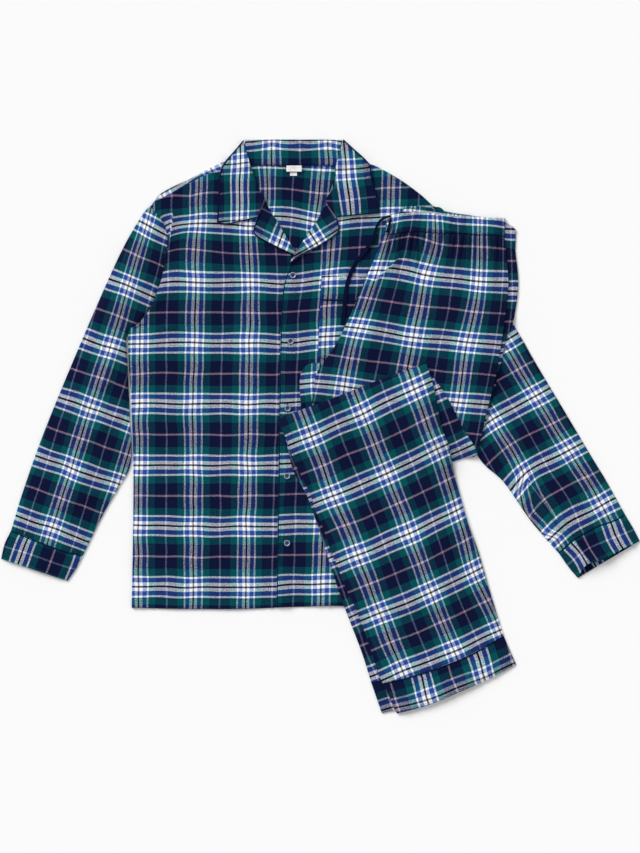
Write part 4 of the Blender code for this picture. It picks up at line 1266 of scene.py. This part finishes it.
def button(name, x, y, floor, radius, sides=64):
    """A four-hole button: a raised rim round a dished middle."""
    shares = np.concatenate([np.linspace(0.02, 0.62, 26), [0.7, 0.78, 0.84, 0.9, 0.96, 1.0]])
    top = np.interp(shares, *np.array(BUTTON_TOP).T)[:, None]
    spots = shares[:, None, None] * circle(sides)
    for hole in ((-1, -1), (-1, 1), (1, -1), (1, 1)):
        away = np.linalg.norm(spots - HOLE_PLACE * np.array(hole), axis=2)
        top = top - HOLE_DEPTH * ease((HOLE - away) / (0.25 * HOLE) + 0.5)
    side_shares, side_heights = np.array(BUTTON_SIDE).T
    spots = np.concatenate([spots, side_shares[:, None, None] * circle(sides)])
    heights = np.concatenate([top, np.repeat(side_heights[:, None], sides, axis=1)])
    ring = at_height(spots * radius + [x, y], heights + floor)
    faces = [*grid_faces(len(ring), sides, closed=True), list(range(sides))]
    faces = [corners[::-1] for corners in faces]
    made = object_of(f"{name}_horn", ring, faces, finish("button"), spots, layer="Face")
    belongs(made, name, slot="button")


# ---------------------------------------------------------------- trousers

GATHERS = np.array([  # places of the gathers along the waistband, as shares of its width
    0.05, 0.09, 0.14, 0.18, 0.25, 0.29, 0.35, 0.41, 0.46, 0.50, 0.56, 0.60, 0.67, 0.73, 0.78, 0.85,
    0.90, 0.95,
])
GATHER_REACH = ((-14, 6), (-110, -35))  # least and most mm that a gather runs across and up
SWELL = (6.0, 70)  # mm that the cloth swells where the band draws it in, and over how much of its length
SHIRT = (  # what the trousers lie on
    *BODY, "shirt_sleeve_right", "shirt_sleeve_left", "shirt_cuff_right", "shirt_cuff_left",
    *COLLAR, "shirt_pocket",
)
THIGHS = ("trouser_under_thigh", "trouser_under_waistband", "trouser_top_thigh", "trouser_top_waistband")


class PYJAMA_OT_thighs(bpy.types.Operator):
    """Makes the trousers' upper half with its gathered waistband."""

    bl_idname = "pyjama.thighs"
    bl_label = "Thighs and waistband"

    def execute(self, context):
        under = patch(UNDER_THIGH_END, UNDER_THIGH_TOP, UNDER_THIGH_LEFT, UNDER_THIGH_RIGHT, cell=8)
        tube_piece("trouser_under_thigh", under, SHIRT, loft=0.6)
        band = patch(UNDER_THIGH_TOP, UNDER_BAND_TOP, cell=4)
        tube_piece("trouser_under_waistband", band, SHIRT, loft=0.8)
        thigh = face_up(patch(THIGH_END, THIGH_TOP, THIGH_LEFT, THIGH_RIGHT, cell=2.3))
        # Each gather runs down from the band and dies out on the way
        starts = line(THIGH_TOP, GATHERS)
        chance = np.random.default_rng(7)
        count = len(GATHERS)
        drops = np.stack([chance.uniform(*reach, count) for reach in GATHER_REACH], axis=1)
        gathered = valleys(thigh, starts, starts + drops, seed=8, width=2.0, depth=8.5)
        gathered += SWELL[0] * ease(1 - edge_distances(thigh)[3] / SWELL[1])
        raised = gathered + creased("trouser_top_thigh", thigh, 41, 1.2, 80, "lr")
        over = (*SHIRT, *THIGHS[:2])
        tube_piece("trouser_top_thigh", thigh, over, loft=0.8, raised=raised, lip=3.0)
        band = face_up(patch(THIGH_TOP, BAND_TOP, cell=2.2))
        # The same gathers cross the band, whose rows of stitches ripple with them
        starts, ends = line(BAND_TOP, GATHERS), line(THIGH_TOP, GATHERS)
        gathered = valleys(band, starts, ends, seed=9, width=2.2, depth=3.4)
        band[..., 1] += 0.5 * gathered * ease(edge_distances(band)[2] / 30)
        ruffled = 4.4 + gathered + puckers(10, band, "et", depth=0.8, wave=9, reach=7)
        tube_piece("trouser_top_waistband", band, over, loft=1.2, raised=ruffled, settle=(4, 4), lip=2.6)
        return {"FINISHED"}


class PYJAMA_OT_lower_legs(bpy.types.Operator):
    """Makes the lower legs, folded back over the thighs, with their hems."""

    bl_idname = "pyjama.lower_legs"
    bl_label = "Lower legs"

    def execute(self, context):
        over = (*SHIRT, *THIGHS)
        fold = patch(FOLD_END, FOLD_TOP, FOLD_LEFT, FOLD_RIGHT, cell=5)
        tube_piece("trouser_fold", fold, over, loft=1.6)
        over = (*over, "trouser_fold")
        shin = patch(UNDER_SHIN_END, UNDER_SHIN_TOP, UNDER_SHIN_LEFT, UNDER_SHIN_RIGHT, cell=8)
        tube_piece("trouser_under_shin", shin, over, loft=0.6)
        hem = patch(UNDER_HEM_END, UNDER_SHIN_END, cell=4)
        tube_piece("trouser_under_hem", hem, over, loft=0.6)
        over = (*over, "trouser_under_shin", "trouser_under_hem")
        shin = patch(SHIN_END, SHIN_TOP, SHIN_LEFT, SHIN_RIGHT, cell=4.4)
        raised = creased("trouser_top_shin", shin, 51, 1.4, 90, "lre")
        tube_piece("trouser_top_shin", shin, over, loft=2.5, raised=raised, settle=(10, 0), bulge=1.4)
        hem = patch(HEM_END, SHIN_END, cell=3.4)
        raised = creased("trouser_top_hem", hem, 52, 1.0, 60, "et")
        tube_piece("trouser_top_hem", hem, over, loft=2.0, raised=raised, settle=(0, 5))
        return {"FINISHED"}


# ---------------------------------------------------------------- trim

STITCH = 2.8  # mm
STITCH_GAP = 0.9  # mm
ROW_ENDS = 6  # mm left free at both ends of a row
THREAD = 0.55  # mm
STITCH_RINGS = (  # share of a stitch's length, mm above the cloth, share of the thread's thickness
    (0, -0.23, 0.5), (0.22, 0.12, 1), (0.78, 0.12, 1), (1, -0.23, 0.5),
)
BUTTONHOLE = (15, 1.8)  # length and width in mm
# Rows of stitching: piece, edge (left, right, end or top) and distance from it in mm
SHIRT_ROWS = (
    ("shirt_front_right", "e", 16), ("shirt_front_left", "e", 16), ("shirt_front_left", "l", 5),
    ("shirt_pocket", "l", 3), ("shirt_pocket", "r", 3), ("shirt_pocket", "e", 3),
    ("shirt_cuff_right", "e", 4), ("shirt_cuff_left", "e", 4), ("shirt_collar_back", "t", 5),
    ("shirt_collar_fall_right", "e", 5), ("shirt_collar_fall_left", "e", 5),
)
TROUSER_ROWS = (
    ("trouser_top_waistband", "e", 4.5), ("trouser_top_waistband", "t", 4.5), ("trouser_top_hem", "t", 4),
    ("trouser_top_hem", "e", 4),
)


def seam_line(name, side, inset):
    """A line on a piece's face, at a distance in mm from its left, right, end or top edge."""
    skin = PILE.skins[name]
    away = dict(zip("lret", edge_distances(skin[..., :2])))[side]
    if side in "et":
        skin, away = skin.transpose(1, 0, 2), away.T
    if side in "rt":
        skin, away = skin[:, ::-1], away[:, ::-1]
    return np.array([[np.interp(inset, a, spots[:, k]) for k in range(3)] for a, spots in zip(away, skin)])


def stitches_on(skin_line):
    """The two ends of each stitch of a row along a line in mm."""
    along = lengths_along(skin_line)
    marks = np.arange(ROW_ENDS, along[-1] - ROW_ENDS, STITCH + STITCH_GAP)
    ends = [
        np.stack([np.interp(mark, along, skin_line[:, k]) for k in range(3)], axis=1)
        for mark in (marks, marks + STITCH)
    ]
    return np.stack(ends, axis=1)


def sewn(name, stitches):
    """One object of many small stitches. stitches[n] is the two ends of one, in mm."""
    aside = np.cross([0, 0, 1], unit(stitches[:, 1] - stitches[:, 0]))
    rings = []
    for share, height, size in STITCH_RINGS:
        middle = stitches[:, 0] * (1 - share) + stitches[:, 1] * share + [0, 0, height]
        half = aside * THREAD * size / 2
        up = np.array([0, 0, THREAD * size * 0.45])
        rings.append(np.stack([middle - half, middle - up, middle + half, middle + up], axis=1))
    points = np.stack(rings, axis=1)
    one = np.array(grid_faces(4, 4, closed=True))
    faces = (one[None] + 16 * np.arange(len(points))[:, None, None]).reshape(-1, 4).tolist()
    belongs(object_of(f"{name}_thread", points, faces, finish("piping")), slot="piping")


def bar_stitches(x, y):
    """Close stitches across a buttonhole that runs up the over front."""
    size, width = BUTTONHOLE
    rows = np.arange(-size / 2, size / 2, THREAD) + y
    ends = [np.stack([np.full_like(rows, x + side * width / 2), rows], axis=1) for side in (-1, 1)]
    return np.stack([at_height(end, PILE.top_at(BODY[1:], end)) for end in ends], axis=1)


def part_of(points, start, stop):
    """A stretch of an outline between two shares of its length."""
    return line(points, np.linspace(start, stop, 14)).tolist()


class PYJAMA_OT_piping(bpy.types.Operator):
    """Makes the piping of the front, cuffs, collar, lapels, pocket and hems."""

    bl_idname = "pyjama.piping"
    bl_label = "Piping"

    def execute(self, context):
        piping("shirt_piping_front", part_of(OVER_FRONT_EDGE, 0, 0.76), BODY, inset=-1.2)
        for side, wrist in (("right", WRIST), ("left", FAR_WRIST)):
            over = (f"shirt_cuff_{side}", f"shirt_sleeve_{side}")
            piping(f"shirt_piping_cuff_{side}", wrist, over, inset=-1.0, stands=-0.8)
        for name, route, inset in (
            ("lapel_right", LAPEL_OUT, -1.2), ("lapel_left", FAR_LAPEL_OUT, 1.2),
            ("fall_right_side", part_of(FALL_OUT, 0.02, 1), -1.2), ("fall_right_end", FALL_END, 1.2),
            ("fall_left_side", part_of(FAR_FALL_OUT, 0.02, 1), 1.2), ("fall_left_end", FAR_FALL_END, -1.2),
        ):
            piping(f"shirt_piping_{name}", route, (*BODY, *COLLAR[1:]), inset, wide=1.35)
        piping("shirt_piping_pocket", POCKET_TRIM, ("shirt_pocket",), inset=0, stands=0.3, wide=1.5)
        for side, route in (("top", SHIN_END), ("under", UNDER_SHIN_END)):
            over = (f"trouser_{side}_hem", f"trouser_{side}_shin")
            piping(f"trouser_piping_{side}_hem", route, over, inset=-1.2, stands=-0.7)
        return {"FINISHED"}


class PYJAMA_OT_sewing(bpy.types.Operator):
    """Makes the rows of stitching and the buttonholes."""

    bl_idname = "pyjama.sewing"
    bl_label = "Sewing"

    def execute(self, context):
        rows = [stitches_on(seam_line(*row)) for row in SHIRT_ROWS]
        rows += [bar_stitches(x, y) for _, x, y in BUTTONS]
        sewn("shirt", np.concatenate(rows))
        sewn("trouser", np.concatenate([stitches_on(seam_line(*row)) for row in TROUSER_ROWS]))
        return {"FINISHED"}


TIE_ROUNDS = 12  # how often the tape is pulled straight between the heights that hold it up
TIE_OUT = 119  # X in mm where the tape leaves the waistband
TIE_SUNK = 12  # mm that it is sunk inside the waistband
TIE_TURN = 75  # mm over which it turns


class PYJAMA_OT_drawstring(bpy.types.Operator):
    """Makes the two free ends of the drawstring."""

    bl_idname = "pyjama.drawstring"
    bl_label = "Drawstring"

    def execute(self, context):
        sizes = context.scene.pyjama_sizes
        wide, thick = sizes.tie / MM, sizes.tie_wall / MM
        over = (*SHIRT, *THIGHS)
        # turns is how far along, in mm, a tape that stands on its edge begins to turn and lie flat
        for name, route, turns in (("trouser_tie_near", TIE_NEAR, 30), ("trouser_tie_far", TIE_FAR, 100)):
            flat = cord_route(route)
            height = PILE.top_at(over, flat)
            for _ in range(TIE_ROUNDS):
                around = (np.roll(height, 1) + np.roll(height, -1)) / 2
                around[[0, -1]] = height[[0, -1]]
                height = np.maximum(height, around)
            height -= TIE_SUNK * ease((flat[:, 0] - TIE_OUT) / 5)
            lean = 1.0 - 0.9 * ease((lengths_along(flat) - turns) / TIE_TURN)
            height += wide / 2 * np.sin(lean) + thick / 2 * np.cos(lean)
            middle = at_height(flat, height)
            made = cord_mesh(f"{name}_tape", middle, wide, thick, finish("tie"), 12, square=3.0, lean=lean)
            belongs(made, name, slot="tie")
        return {"FINISHED"}


class PYJAMA_PT_panel(bpy.types.Panel):
    """Lists the pieces and their sizes."""

    bl_idname = "PYJAMA_PT_panel"
    bl_label = "Pyjamas"
    bl_space_type = "VIEW_3D"
    bl_region_type = "UI"
    bl_category = "Pyjamas"

    def draw(self, context):
        for maker in MAKERS:
            self.layout.operator(maker.bl_idname)
        for group in (context.scene.pyjama_sizes, context.scene.pyjama_colours):
            column = self.layout.column()
            for name in group.bl_rna.properties.keys():
                if name not in ("rna_type", "name"):
                    column.prop(group, name)


MAKERS = (
    PYJAMA_OT_stage, PYJAMA_OT_shirt_body, PYJAMA_OT_sleeves, PYJAMA_OT_collar, PYJAMA_OT_pocket,
    PYJAMA_OT_buttons, PYJAMA_OT_thighs, PYJAMA_OT_lower_legs, PYJAMA_OT_piping, PYJAMA_OT_sewing,
    PYJAMA_OT_drawstring,
)
CLASSES = (PYJAMA_PG_sizes, PYJAMA_PG_colours, *MAKERS, PYJAMA_PT_panel)


def register():
    for kind in CLASSES:
        bpy.utils.register_class(kind)
    bpy.types.Scene.pyjama_sizes = bpy.props.PointerProperty(type=PYJAMA_PG_sizes)
    bpy.types.Scene.pyjama_colours = bpy.props.PointerProperty(type=PYJAMA_PG_colours)


def unregister():
    del bpy.types.Scene.pyjama_colours
    del bpy.types.Scene.pyjama_sizes
    for kind in reversed(CLASSES):
        bpy.utils.unregister_class(kind)


def main():
    """Makes the whole set."""
    register()
    for maker in MAKERS:
        group, name = maker.bl_idname.split(".")
        getattr(getattr(bpy.ops, group), name)()


if __name__ == "__main__":
    main()
